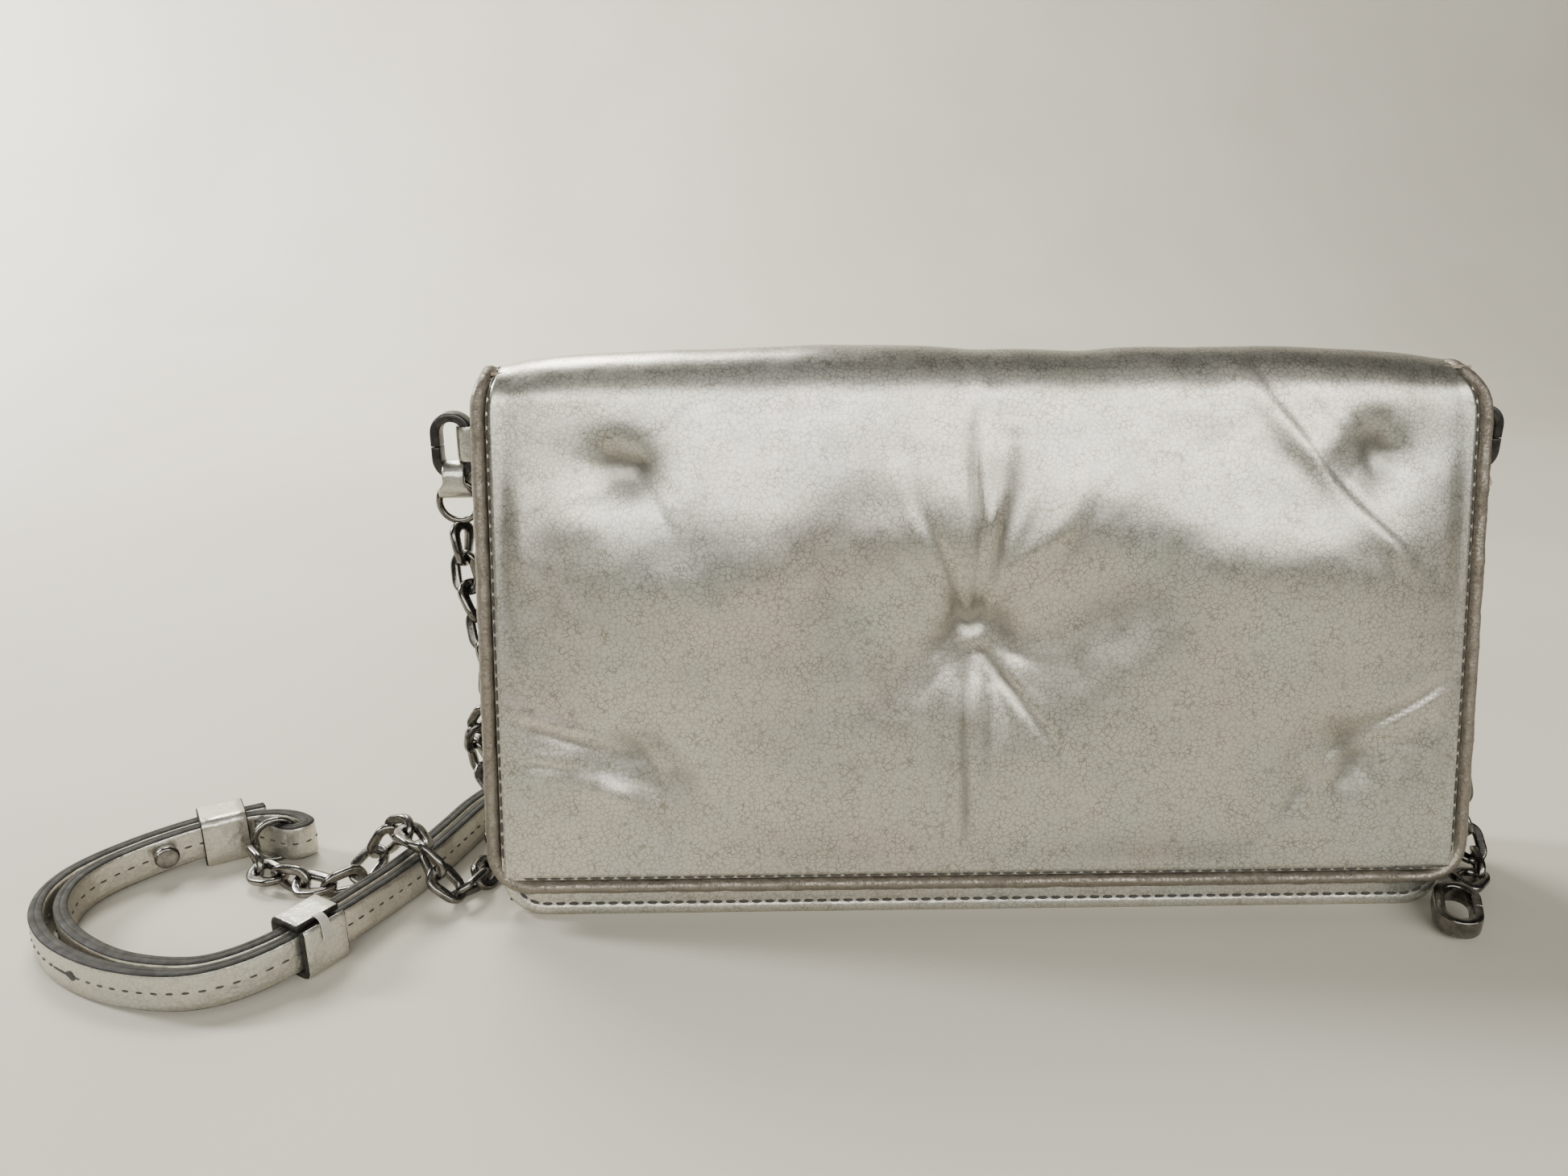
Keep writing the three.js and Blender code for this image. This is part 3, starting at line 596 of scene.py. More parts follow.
def curb_link():
    """Points and faces of one twisted, flattened link that is long along Y."""
    line = stadium(LINK_LENGTH - LINK_WIRE, LINK_WIDTH - LINK_WIRE, 0.6)
    centres = np.column_stack([line, np.zeros(len(line))])
    side = unit(np.cross(tangents(centres, closed=True), UP))
    profile = ellipse_profile(LINK_WIRE, LINK_WIRE * 1.06, 2.2, 10)
    points, faces = sweep(centres, side, UP, profile, closed=True)
    points[:, 2] = np.clip(points[:, 2], -LINK_FLAT / 2, LINK_FLAT / 2)
    angle = points[:, 1] / LINK_LENGTH * LINK_TWIST
    c, s = np.cos(angle), np.sin(angle)
    x, z = points[:, 0] * c - points[:, 2] * s, points[:, 0] * s + points[:, 2] * c
    return np.stack([x, points[:, 1], z], axis=1), faces


def placed(points, centre, along, up):
    """Points drawn with Y as their length and Z as their face, turned to lie along a direction."""
    along = unit(along)
    side = unit(np.cross(along, up))
    face = np.cross(side, along)
    return centre + points[:, :1] * side + points[:, 1:2] * along + points[:, 2:] * face


def chain_run(name, route, seed):
    """A run of links along a route, each turned by about a quarter to its neighbours."""
    line = smooth_route(route, 0.5)
    along = lengths(line)
    count = round(along[-1] / LINK_PITCH)
    at = np.linspace(LINK_FIRST, along[-1] - LINK_LAST, count)
    link, faces = curb_link()
    random = np.random.default_rng(seed)
    up = FIRST_LINK_FACE
    parts = []
    for i, place in enumerate(at):
        before, middle, after = at_lengths(line, along, place + np.array([-2.5, 0, 2.5]))
        direction = unit(after - before)
        up = unit(up - direction * np.dot(up, direction))
        roll = LINK_ROLLS[i % 2] + random.uniform(-LINK_LOOSE, LINK_LOOSE)
        face = up * math.cos(roll) + np.cross(direction, up) * math.sin(roll)
        parts.append((placed(link, middle, direction, face), faces))
    piece = make_piece(name, *joined(parts), STEEL, slot="gunmetal")
    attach(piece, "carcass")
    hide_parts(name.replace("_links", ""))


def wire_ring(name, centre, heading, radius, node):
    """A ring of round wire that stands on edge, with its closing gap."""
    turn = np.linspace(math.radians(4), math.radians(356), 56)
    flat, through = heading_axes(heading)
    out = np.cos(turn)[:, None] * flat + np.sin(turn)[:, None] * UP
    profile = ellipse_profile(WIRE, WIRE, 2, 12)
    points, faces = sweep(np.asarray(centre) + out * radius, out, through, profile)
    piece = make_piece(name, points, faces, STEEL, slot="gunmetal")
    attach(piece, "carcass")
    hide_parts(node)
    return piece


def end_ring(name, hole, node):
    """The ring through a hole at one end of the strap."""
    x, y, heading = hole
    centre = (x, y, END_RING_Z) + heading_axes(heading)[0] * END_RING_RADIUS
    return wire_ring(name, centre, heading, END_RING_RADIUS, node)


def oblong_ring(name, centre, side, through, along, material, node, slot):
    """A flat-band oblong ring with softened edges and the joint in one of its long bars."""
    line = stadium(RING_LENGTH - RING_BAND, RING_WIDTH - RING_BAND, 0.4)
    middle = int(np.argmin(np.hypot(line[:, 0] - line[:, 0].max(), line[:, 1])))
    line = np.roll(line, -middle, axis=0)
    line = resampled(np.vstack([line, line[:1]]), 0.4)
    line[0, 1] += RING_JOINT / 2
    line[-1, 1] -= RING_JOINT / 2
    side, through, along = (np.asarray(v, float) for v in (side, through, along))
    centres = np.asarray(centre) + line[:, :1] * side + line[:, 1:] * along
    flow = tangents(centres)
    points, faces = sweep(centres, unit(np.cross(flow, through)), through,
                          ellipse_profile(RING_BAND, RING_DEPTH, 7, 20))
    piece = make_piece(name, points, faces, material, slot=slot)
    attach(piece, "carcass")
    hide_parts(node)
    return piece


def corner_link():
    """The oblong link that leans at the corner, between the two right-hand chains."""
    along = unit(np.array(LINK_DIRECTION))
    across = unit(np.array([along[1], -along[0], 0]))
    through = np.cross(across, along)
    centre = np.array(LINK_FOOT) + along * RING_LENGTH / 2 + (0, 0, RING_DEPTH / 2)
    return oblong_ring("corner_oblong_link", centre, across, through, along, STEEL, "corner_link", "gunmetal")


# ---- strap ----
STRAP_STEP = 0.7
STRAP_EDGE_CROWN = 0.35
STRAP_GROOVE = 0.14
STRAP_STITCH_PITCH = 2.9
STRAP_RISE_REACH = 17       # how far from a keeper the strap settles back to the floor
STRAP_CRINKLE = 0.10


def strap_line():
    """The strap's middle line. It lies on the floor, and rises where a keeper's wall is under it."""
    flat = smooth_route([(x, y, 0) for x, y in STRAP_ROUTE], STRAP_STEP)
    near = np.full(len(flat), 1e9)
    for x, y, _ in (SLIDING_KEEPER, SEWN_KEEPER):
        near = np.minimum(near, np.hypot(flat[:, 0] - x, flat[:, 1] - y))
    raised = np.exp(-(near / STRAP_RISE_REACH) ** 2)
    flat[:, 2] = STRAP_REST + (STRAP_LOW - STRAP_REST) * raised + STRAP_WIDTH / 2
    return flat


def strap_profile():
    """A section with crowned, painted edges that carry a fine groove, and each side's material."""
    t, w = STRAP_THICKNESS / 2, STRAP_WIDTH / 2
    crown = [(-t, -STRAP_EDGE_CROWN), (-0.8 * t, -0.1), (-0.35 * t, 0), (-0.08 * t, 0), (0, -STRAP_GROOVE),
             (0.08 * t, 0), (0.35 * t, 0), (0.8 * t, -0.1), (t, -STRAP_EDGE_CROWN)]
    top = [(x, w + y) for x, y in crown]
    face = [(t, w * k) for k in (0.6, 0.2, 0.04, -0.04, -0.2, -0.6)]
    low = [(-x, -w - y) for x, y in crown]
    other = [(-x, -z) for x, z in face]
    points = np.array(top + face + low + other)
    painted = [1] * 8 + [0] * 7 + [1] * 8 + [0] * 7
    return points, painted


def make_strap():
    """The crinkled strap on its edge. The line and its sideways directions are returned with it."""
    line = strap_line()
    flow = unit(np.gradient(line * (1, 1, 0), axis=0))
    side = np.stack([flow[:, 1], -flow[:, 0], np.zeros(len(flow))], axis=1)
    profile, painted = strap_profile()
    points, faces = sweep(line, side, UP, profile)
    crinkle = np.array([noise.noise(Vector(p) * 0.9) + 0.6 * noise.noise(Vector(p) * 2.3) for p in points])
    normal = np.repeat(side, len(profile), axis=0) * np.sign(np.tile(profile[:, :1], (len(line), 1)))
    on_face = np.tile(np.array([abs(y) < STRAP_WIDTH / 2 - 0.5 for _, y in profile]), len(line))
    points = points + normal * (crinkle * STRAP_CRINKLE * on_face)[:, None]
    kinds = painted * (len(line) - 1) + [1, 1]
    strap = make_piece("leather_strap", points, faces, [STRAP_SILVER, PAINTED], kinds, "silver_leather")
    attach(strap, "carcass")
    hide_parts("strap")
    return strap, line, side


def stitch_row(name, places, normals, pitch, length, thick, body=None):
    """Short, slightly arched stitches along a line, with their ends down in the leather."""
    along = lengths(places)
    count = int(along[-1] // pitch)
    start = (along[-1] - (count - 1) * pitch) / 2
    parts = []
    for i in range(count):
        at = start + i * pitch + np.linspace(-0.5, 0.5, 5) * length
        normal = unit(at_lengths(normals, along, at))
        arch = np.array([-0.9, 0.1, 0.35, 0.1, -0.9]) * thick * 0.5
        centres = at_lengths(places, along, at) + normal * arch[:, None]
        flow = tangents(centres)
        side = unit(np.cross(flow, normal))
        parts.append(sweep(centres, side, np.cross(side, flow), ellipse_profile(thick, thick * 0.8, 2, 6)))
    piece = make_piece(name, *joined(parts), THREAD)
    if body:
        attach(piece, body)
    return piece


def make_strap_stitches(line, side):
    """A row of stitches on each face. The inner one is sewn the other way."""
    half = STRAP_THICKNESS / 2
    faces = (("outer", line + side * half, side), ("inner", (line - side * half)[::-1], -side[::-1]))
    return [stitch_row(f"strap_stitches_{word}", places, normals, STRAP_STITCH_PITCH, 1.5, 0.42, "carcass")
            for word, places, normals in faces]


def slot_shade_sheet(name, line, side, at):
    """A dark keyhole for a stud, a slit with a round end, on both faces of the strap: a black sheet on each
    face that is painted shade standing in for the hole.
    """
    along = lengths(line)
    reach = np.linspace(-3.6, 3.6, 15)
    centres = at_lengths(line, along, at + reach)
    out = unit(at_lengths(side, along, at + reach))
    half = 0.32 + 0.85 * np.exp(-((reach + 2.2) / 1.1) ** 2)
    half *= np.sqrt(np.clip(1 - (np.abs(reach) / 3.62) ** 6, 0.02, 1))
    profile = ellipse_profile(0.3, 2, 2.5, 10)
    shade_slits = [sweep(centres + out * face * (STRAP_THICKNESS / 2 - 0.02), out, UP, profile, widths=half)
             for face in (-1, 1)]
    # The black lining leather here is painted shade for the inside of the slot; no hole is cut.
    piece = make_piece(name, *joined(shade_slits), LINING, slot="lining_leather")
    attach(piece, "carcass")
    return piece


def strap_stud():
    """A turned steel stud with a bevelled head, whose waist is in the strap."""
    profile = [(0.0, -0.6), (1.2, -0.6), (1.2, 0.9), (1.35, 1.1), (2.35, 1.15), (2.5, 1.3), (2.5, 2.55),
               (2.42, 2.75), (2.1, 3.0), (1.95, 3.04), (1.0, 3.07), (0.0, 3.08)]
    x, y, heading = STUD
    side, across = heading_axes(heading)
    around = 40
    angle = np.arange(around) * 2 * math.pi / around
    middle = np.array([x, y, STRAP_LOW + STRAP_WIDTH / 2])
    points = [middle - across * h + (side * math.cos(a) + UP * math.sin(a)) * max(r, 0.01)
              for r, h in profile for a in angle]
    faces = grid_faces(len(profile), around, around=True)
    faces += [list(range(around))[::-1], [len(points) - around + i for i in range(around)]]
    piece = make_piece("slot_stud", points, faces, STEEL, slot="gunmetal")
    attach(piece, "carcass")
    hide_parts("strap_stud")
    return piece


def band_line(gap=0.0):
    """The closed line of a keeper's wall round both strands; a gap opens it at its upper front corner."""
    half = KEEPER_CLEAR / 2 + KEEPER_WALL / 2
    low, high = KEEPER_LOW + KEEPER_WALL / 2, KEEPER_HIGH - KEEPER_WALL / 2
    radius, step = 1.3, 0.45
    inner, top, bottom = half - radius, high - radius, low + radius
    points = []
    for x, z, angle in ((inner, top, 0), (-inner, top, 90), (-inner, bottom, 180), (inner, bottom, 270)):
        turn = np.radians(np.linspace(angle, angle + 90, 7))
        points += [(x + radius * math.cos(a), z + radius * math.sin(a)) for a in turn]
    line = resampled(points + points[:1], step)[:-1]
    if not gap:
        return line
    return np.roll(line, -5, axis=0)[:-round(gap / step)]


def make_keeper(name, place, node, body, gap=0.0):
    """A leather band round both strands, silver outside, with painted cut edges."""
    x, y, heading = place
    flow, across = heading_axes(heading)
    line = band_line(gap)
    centres = (x, y, 0) + line[:, :1] * across + line[:, 1:] * UP
    out = unit(np.cross(flow, tangents(centres, closed=not gap)))
    t, w = KEEPER_WALL / 2, KEEPER_LENGTH / 2
    profile = np.array([(t, -w + 0.25), (t, -w * 0.5), (t, 0), (t, w * 0.5), (t, w - 0.25), (t - 0.25, w),
                        (-t, w - 0.1), (-t, 0), (-t, -w + 0.1), (t - 0.25, -w)])
    painted = [0] * 4 + [1] * 6
    points, faces = sweep(centres, out, flow, profile, closed=not gap)
    kinds = painted * (len(centres) - 1) + ([1, 1] if gap else painted)
    piece = make_piece(name, points, faces, [STRAP_SILVER, PAINTED], kinds, "silver_leather")
    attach(piece, body)
    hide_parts(node)
    return piece


def keeper_bar_stitch():
    """Pale thread that bridges the slit where the sewn keeper's ends meet."""
    x, y, heading = SEWN_KEEPER
    flow, across = heading_axes(heading)
    half = KEEPER_CLEAR / 2 + KEEPER_WALL
    over = [(-2.6, -0.7), (-2.2, 0.15), (-0.9, 0.25), (0.1, -0.7), (0.3, -2.2), (0.25, -4.1), (-0.6, -4.5)]
    line = smooth_route([(half + a, KEEPER_HIGH + b, 0) for a, b in over], 0.3)
    parts = []
    for offset in (-0.75, -0.38, 0.0, 0.38, 0.75):
        slant = offset + np.linspace(-0.15, 0.15, len(line)) * (1 + offset)
        centres = (x, y, 0) + line[:, :1] * across + line[:, 1:2] * UP + slant[:, None] * flow
        along = tangents(centres)
        side = unit(np.cross(along, flow))
        parts.append(sweep(centres, side, np.cross(side, along), ellipse_profile(0.42, 0.42, 2, 8)))
    piece = make_piece("keeper_bar_stitch", *joined(parts), PALE_THREAD)
    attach(piece, "carcass")
    return piece


def make_cords():
    """The chains and the strap, with what hangs between them and what sits on the strap."""
    left_ring = wire_ring("left_chain_start_ring", (LEFT_RING_X, RING_Y, START_RING_Z), 0, START_RING_RADIUS,
                          "left_chain_ring")
    right_ring = wire_ring("right_chain_start_ring", (RIGHT_RING_X, RING_Y, START_RING_Z), 0,
                           START_RING_RADIUS, "right_chain_ring")
    left_end = end_ring("left_strap_end_ring", LEFT_END_HOLE, "left_strap_ring")
    right_end = end_ring("right_strap_end_ring", RIGHT_END_HOLE, "right_strap_ring")
    link = corner_link()
    chain_run("left_chain_links", LEFT_CHAIN_ROUTE, 11)
    chain_run("right_chain_upper_links", RIGHT_UPPER_CHAIN_ROUTE, 12)
    chain_run("right_chain_lower_links", RIGHT_LOWER_CHAIN_ROUTE, 14)
    strap, line, side = make_strap()
    rows = make_strap_stitches(line, side)
    along = lengths(line)
    second = len(line) // 2     # the slots are in the strand that comes back
    for i, (x, y) in enumerate(STRAP_SLOTS):
        nearest = second + int(np.argmin(np.hypot(line[second:, 0] - x, line[second:, 1] - y)))
        slot_shade_sheet(f"strap_slot_shade_{i + 1}", line, side, along[nearest])
    stud = strap_stud()
    slider = make_keeper("strap_sliding_keeper", SLIDING_KEEPER, "sliding_keeper", "keeper")
    sewn = make_keeper("strap_sewn_keeper", SEWN_KEEPER, "sewn_keeper", "carcass", gap=1.0)
    bar = keeper_bar_stitch()


make_cords()


# ---- the leather's line round the wallet: up the front, over the spine and down the back ----
def rounded_corner(before, corner, after, radius):
    """Points of the arc that rounds the corner of two straight stretches."""
    u, v = unit(before - corner), unit(after - corner)
    half = math.acos(np.clip(np.dot(u, v), -1, 1)) / 2
    reach = radius / math.tan(half)
    centre = corner + unit(u + v) * radius / math.sin(half)
    start, end = corner + u * reach - centre, corner + v * reach - centre
    turn = np.linspace(0, 1, 14)[:, None]
    return centre + unit(start * (1 - turn) + end * turn) * radius


def crossing(p, along_p, q, along_q):
    """Where two lines in Y and Z meet."""
    a = np.array([along_p, -along_q]).T
    return p + along_p * np.linalg.solve(a, q - p)[0]


FRONT_CREASE_AT = on_front(0, FRONT_CREASE, -SPINE_EDGE)[1:]
BACK_CREASE_AT = on_back(0, BACK_CREASE, -SPINE_EDGE)[1:]
SPINE_ALONG = unit(BACK_CREASE_AT - FRONT_CREASE_AT)
SPINE_OUT = np.array([-SPINE_ALONG[1], SPINE_ALONG[0]])


def shell_line():
    """The Y and Z of the leather's base line, from the flap's lower edge to the back's."""
    low, low_back = on_front(0, FLAP_LOW, 0)[1:], on_back(0, BACK_LOW, 0)[1:]
    up, down = unit(on_front(0, 50, 0)[1:] - low), unit(on_back(0, 50, 0)[1:] - low_back)
    top = FRONT_CREASE_AT + SPINE_OUT * SPINE_RISE
    front = crossing(low, up, top, SPINE_ALONG)
    back = crossing(top, SPINE_ALONG, low_back, down)
    points = np.vstack([low, rounded_corner(low, front, back, SHELL_RADIUS),
                        rounded_corner(front, back, low_back, SHELL_RADIUS), low_back])
    return resampled(points, 0.25)


SHELL = shell_line()
SHELL_AT = lengths(SHELL)
SHELL_END = float(SHELL_AT[-1])
SHELL_FLOW = unit(np.gradient(SHELL, axis=0))


def nearest_on_shell(place):
    """The length along the leather's line that is nearest to a place in Y and Z."""
    return float(SHELL_AT[np.argmin(np.linalg.norm(SHELL - place, axis=1))])


SPINE_MIDDLE = nearest_on_shell((FRONT_CREASE_AT + BACK_CREASE_AT) / 2 + SPINE_OUT * SPINE_RISE)
FOLD_FRONT = nearest_on_shell(FRONT_CREASE_AT)
FOLD_BACK = nearest_on_shell(BACK_CREASE_AT)
FOLD_REACH = 6              # a length to each side of a crease; the hinges work out places with it but don't use them
LEFT_DRAW = 1.6             # how far the edges draw in over the spine
RIGHT_DRAW = 4.6


def on_shell(x, at, out):
    """Points on the leather's line: across, along it, and out from it."""
    x, at, out = np.broadcast_arrays(np.asarray(x, float), at, out)
    y, z = np.moveaxis(at_lengths(SHELL, SHELL_AT, at), -1, 0)
    fy, fz = np.moveaxis(at_lengths(SHELL_FLOW, SHELL_AT, at), -1, 0)
    size = np.hypot(fy, fz)
    return np.stack([x, y - out * fz / size, z + out * fy / size], axis=-1)


def shell_out(at):
    """The direction straight out of the leather at those lengths along its line."""
    fy, fz = np.moveaxis(at_lengths(SHELL_FLOW, SHELL_AT, at), -1, 0)
    return unit(np.stack([np.zeros_like(fy), -fz, fy], axis=-1))


def narrowing(side, at):
    """How far a side's edge is drawn in. It starts late on the flap and then rolls over the crease."""
    at = np.asarray(at, float)
    rise = smoothstep(np.clip((at - (FOLD_FRONT - 11)) / 13, 0, 1) ** 1.7)
    fall = smoothstep(((FOLD_BACK + 9) - at) / 11)
    return (RIGHT_DRAW if side > 0 else LEFT_DRAW) * np.minimum(rise, fall)


def drawn_across(share, at):
    """X at a share of the padded leather's width, between its drawn-in sides."""
    half = WIDTH / 2 - SEAM_INSET
    left, right = -half + narrowing(-1, at), half - narrowing(1, at)
    return left + share * (right - left)


def hinge_front(piece):
    """Bakes a piece's transform into its mesh. Places to each side of the front crease are worked out but not
    used.
    """
    to_frame(on_shell(0, FOLD_FRONT + FOLD_REACH, 0))
    to_frame(on_shell(0, FOLD_FRONT - FOLD_REACH, 0))
    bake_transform(piece)


def hinge_back(piece):
    """Bakes a piece's transform into its mesh. Places to each side of the back crease are worked out but not
    used.
    """
    to_frame(on_shell(0, FOLD_BACK + FOLD_REACH, 0))
    to_frame(on_shell(0, FOLD_BACK - FOLD_REACH, 0))
    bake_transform(piece)


# ---- bindings ----
def u_line(side_inset, low, far, corner):
    """X and place along the shell, down one side, round the flap's or back's corners and up the other."""
    half = WIDTH / 2 - side_inset
    toward = 1 if far > low else -1
    radius = corner - side_inset
    base = low + toward * (side_inset + radius)
    runs = []
    for side in (-1, 1):
        run = [(side * (half - narrowing(side, s)), s) for s in np.linspace(far, base, 130)]
        run += [(side * (half - radius + radius * math.cos(a)), base - toward * radius * math.sin(a))
                for a in np.linspace(0, math.pi / 2, 14)[1:-1]]
        runs.append(run)
    return resampled(runs[0] + runs[1][::-1], 0.8)


def make_binding(name, low, far, hinge, nodes):
    """A rolled, rubbed leather edge in one run, with the unevenness of hand-worn leather."""
    line = u_line(BINDING_WIDTH / 2, low, far, FLAP_CORNER)
    centres = on_shell(line[:, 0], line[:, 1], -BINDING_DEPTH / 2 + 0.45)
    up = shell_out(line[:, 1])
    side = unit(np.cross(tangents(centres), up))
    profile = ellipse_profile(BINDING_WIDTH, BINDING_DEPTH + 0.9, 2.15, 22)
    points, faces = sweep(centres, side, up, profile)
    outward = unit(points - np.repeat(centres, len(profile), axis=0))
    rough = np.array([noise.noise(Vector(p) * 0.28) * 0.20 + noise.noise(Vector(p) * 1.1) * 0.10
                      for p in points])
    piece = make_piece(name, points + outward * rough[:, None], faces, EDGE, slot="bound_edge")
    hinge(piece)
    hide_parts(*nodes)


def make_edge_stitches(name, low, far, hinge):
    """The row of stitches just inside a binding."""
    line = u_line(SEAM_INSET + 0.35, low, far, FLAP_CORNER)
    places = on_shell(line[:, 0], line[:, 1], SEAM_RISE + 0.12)
    hinge(stitch_row(name, places, shell_out(line[:, 1]), STITCH_PITCH, 2.0, 0.46))


# ---- padded leather ----
COVER_STEP = 0.85           # the covers' fine grid
COVER_BACK = 1.2            # a cover's underside, inwards from the leather's line
LEAST_RISE = 1.2            # below this height a crease goes in less than half as fast
def sample_grid(grid, rows, columns):
    """A grid's values between its points, smooth in both directions. rows and columns are in grid steps."""
    def along_first(values, at):
        i = np.clip(np.floor(at).astype(int), 0, len(values) - 2)
        t = (at - i).reshape(-1, *[1] * (values.ndim - 1))
        a, b, c, d = (values[np.clip(i + k, 0, len(values) - 1)] for k in (-1, 0, 1, 2))
        return b + 0.5 * t * (c - a + t * (2 * a - 5 * b + 4 * c - d + t * (3 * (b - c) + d - a)))
    first = along_first(grid, rows)
    return np.swapaxes(along_first(np.swapaxes(first, 0, 1), columns), 0, 1)


def seam_height(x, half):
    """The padding's height at the spine seam, falling to the stitched ledge at both sides."""
    inside = np.clip((half - np.abs(x) - 0.9) / 7, 0, 1)
    wave = np.vectorize(lambda a: noise.noise(Vector((a / 16, 0.3, 5.7))))(x)
    return SEAM_RISE + (PAD_RISE + 0.9 * wave - SEAM_RISE) * np.sqrt(1 - (1 - inside) ** 2)


def rest_sheet(half, start, end, step):
    """A flat sheet of leather before it is filled: X, place along the shell, and the ways to its edges."""
    columns = round(2 * half / step) + 1
    rows = round(abs(end - start) / step) + 1
    x = np.linspace(-half, half, columns)
    at = np.linspace(start, end, rows)
    gx, gs = np.meshgrid(x, at)
    from_edge = np.minimum(half - np.abs(gx), np.abs(gs - start))
    from_seam = np.abs(gs - end)
    return gx, gs, from_edge, from_seam


def filled_by_cloth(gx, gs, held, height, pressure, grow):
    """Fills the sheet with Blender's cloth solver, ten times the real size, and returns its points."""
    frames = 28
    big = 10 * MM
    points = np.stack([gx, gs, height], axis=-1).reshape(-1, 3) * big
    data = bpy.data.meshes.new("filling")
    data.from_pydata(points.tolist(), [], grid_faces(*gx.shape))
    sheet = bpy.data.objects.new("filling", data)
    bpy.context.scene.collection.objects.link(sheet)
    group = sheet.vertex_groups.new(name="held")
    group.add(np.flatnonzero(held.ravel()).tolist(), 1.0, "REPLACE")
    cloth = sheet.modifiers.new("cloth", "CLOTH")
    settings = cloth.settings
    settings.quality = 7
    settings.mass = 0.25
    settings.tension_stiffness = settings.compression_stiffness = 18
    settings.shear_stiffness = 9
    settings.bending_stiffness = 5.0
    settings.tension_damping = settings.compression_damping = 12
    settings.air_damping = 3
    settings.vertex_group_mass = "held"
    settings.use_pressure = True
    settings.uniform_pressure_force = pressure
    settings.shrink_min = -grow
    settings.effector_weights.gravity = 0
    cloth.point_cache.frame_start, cloth.point_cache.frame_end = 1, frames
    scene = bpy.context.scene
    for i in range(1, frames + 1):
        scene.frame_set(i)
    shown = sheet.evaluated_get(bpy.context.evaluated_depsgraph_get()).to_mesh()
    made = np.zeros(len(shown.vertices) * 3)
    shown.vertices.foreach_get("co", made)
    bpy.data.objects.remove(sheet)
    scene.frame_set(1)
    return made.reshape(*gx.shape, 3) / big


def eased(heights, passes):
    """Heights averaged with their neighbours a few times."""
    for _ in range(passes):
        near = np.pad(heights, 1, mode="edge")
        around = near[:-2, 1:-1] + near[2:, 1:-1] + near[1:-1, :-2] + near[1:-1, 2:]
        heights = heights / 2 + around / 8
    return heights


def fold_line(x, at, route, width, depth, lip=0.5):
    """A crease along a route: a soft groove with a raised lip on its left, fading at both ends."""
    line = smooth_route([(a, b, 0) for a, b in route], 0.8)[:, :2]
    share = lengths(line) / lengths(line)[-1]
    flow = tangents(line)
    best = np.full(x.shape, 1e9)
    across, fade = np.zeros(x.shape), np.zeros(x.shape)
    for p, f, t in zip(line, flow, share):
        dx, ds = x - p[0], at - p[1]
        away = dx * dx + ds * ds
        nearer = away < best
        best = np.where(nearer, away, best)
        across = np.where(nearer, dx * -f[1] + ds * f[0], across)
        fade = np.where(nearer, math.sin(math.pi * min(max(t, 0.03), 0.97)) ** 0.6, fade)
    reach = np.sqrt(best) / width
    side = np.sign(across) * reach
    groove = -depth * np.exp(-reach ** 2)
    ridge = depth * lip * np.exp(-((side - 1.7) / 1.0) ** 2)
    return fade * (groove + ridge)


def dent(x, at, centre, size, angle, depth):
    """A smooth oval hollow; a negative depth raises a lobe."""
    c, s = math.cos(math.radians(angle)), math.sin(math.radians(angle))
    dx, ds = x - centre[0], at - centre[1]
    u, v = (dx * c + ds * s) / size[0], (-dx * s + ds * c) / size[1]
    return -depth * np.exp(-(u * u + v * v))


def fan(x, at, centre, reach, count, depth, seed, angles=(0, 360)):
    """Fine gathers that run out from a tuft."""
    dx, ds = x - centre[0], at - centre[1]
    away, turn = np.hypot(dx, ds), np.degrees(np.arctan2(ds, dx)) % 360
    total = np.zeros(x.shape)
    random = np.random.default_rng(seed)
    for _ in range(count):
        angle = random.uniform(*angles) % 360
        long, width = reach * random.uniform(0.45, 1.0), random.uniform(0.55, 1.15)
        off = np.radians((turn - angle + 180) % 360 - 180) * away
        bow = off - (away / reach) ** 2 * random.uniform(-3, 3)
        near = smoothstep(away / 4) * smoothstep((long - away) / (0.6 * long))
        total += -depth * random.uniform(0.5, 1) * np.exp(-(bow / width) ** 2) * near
    return total


TUFT_RISE = 5.3             # how high the cloth is held at a tuft, before flap_creases presses its hollow
TUFT_RADIUS = 2.2
CENTRE_TUFT = (-2.2, 59.1)
LOW_TUFTS = [(-66.7, 33.6), (70.7, 33.7)]
HIGH_HOLLOWS = [(-70.1, 92.4), (74.2, 95.4)]    # these two are only pressed in, not held in the cloth
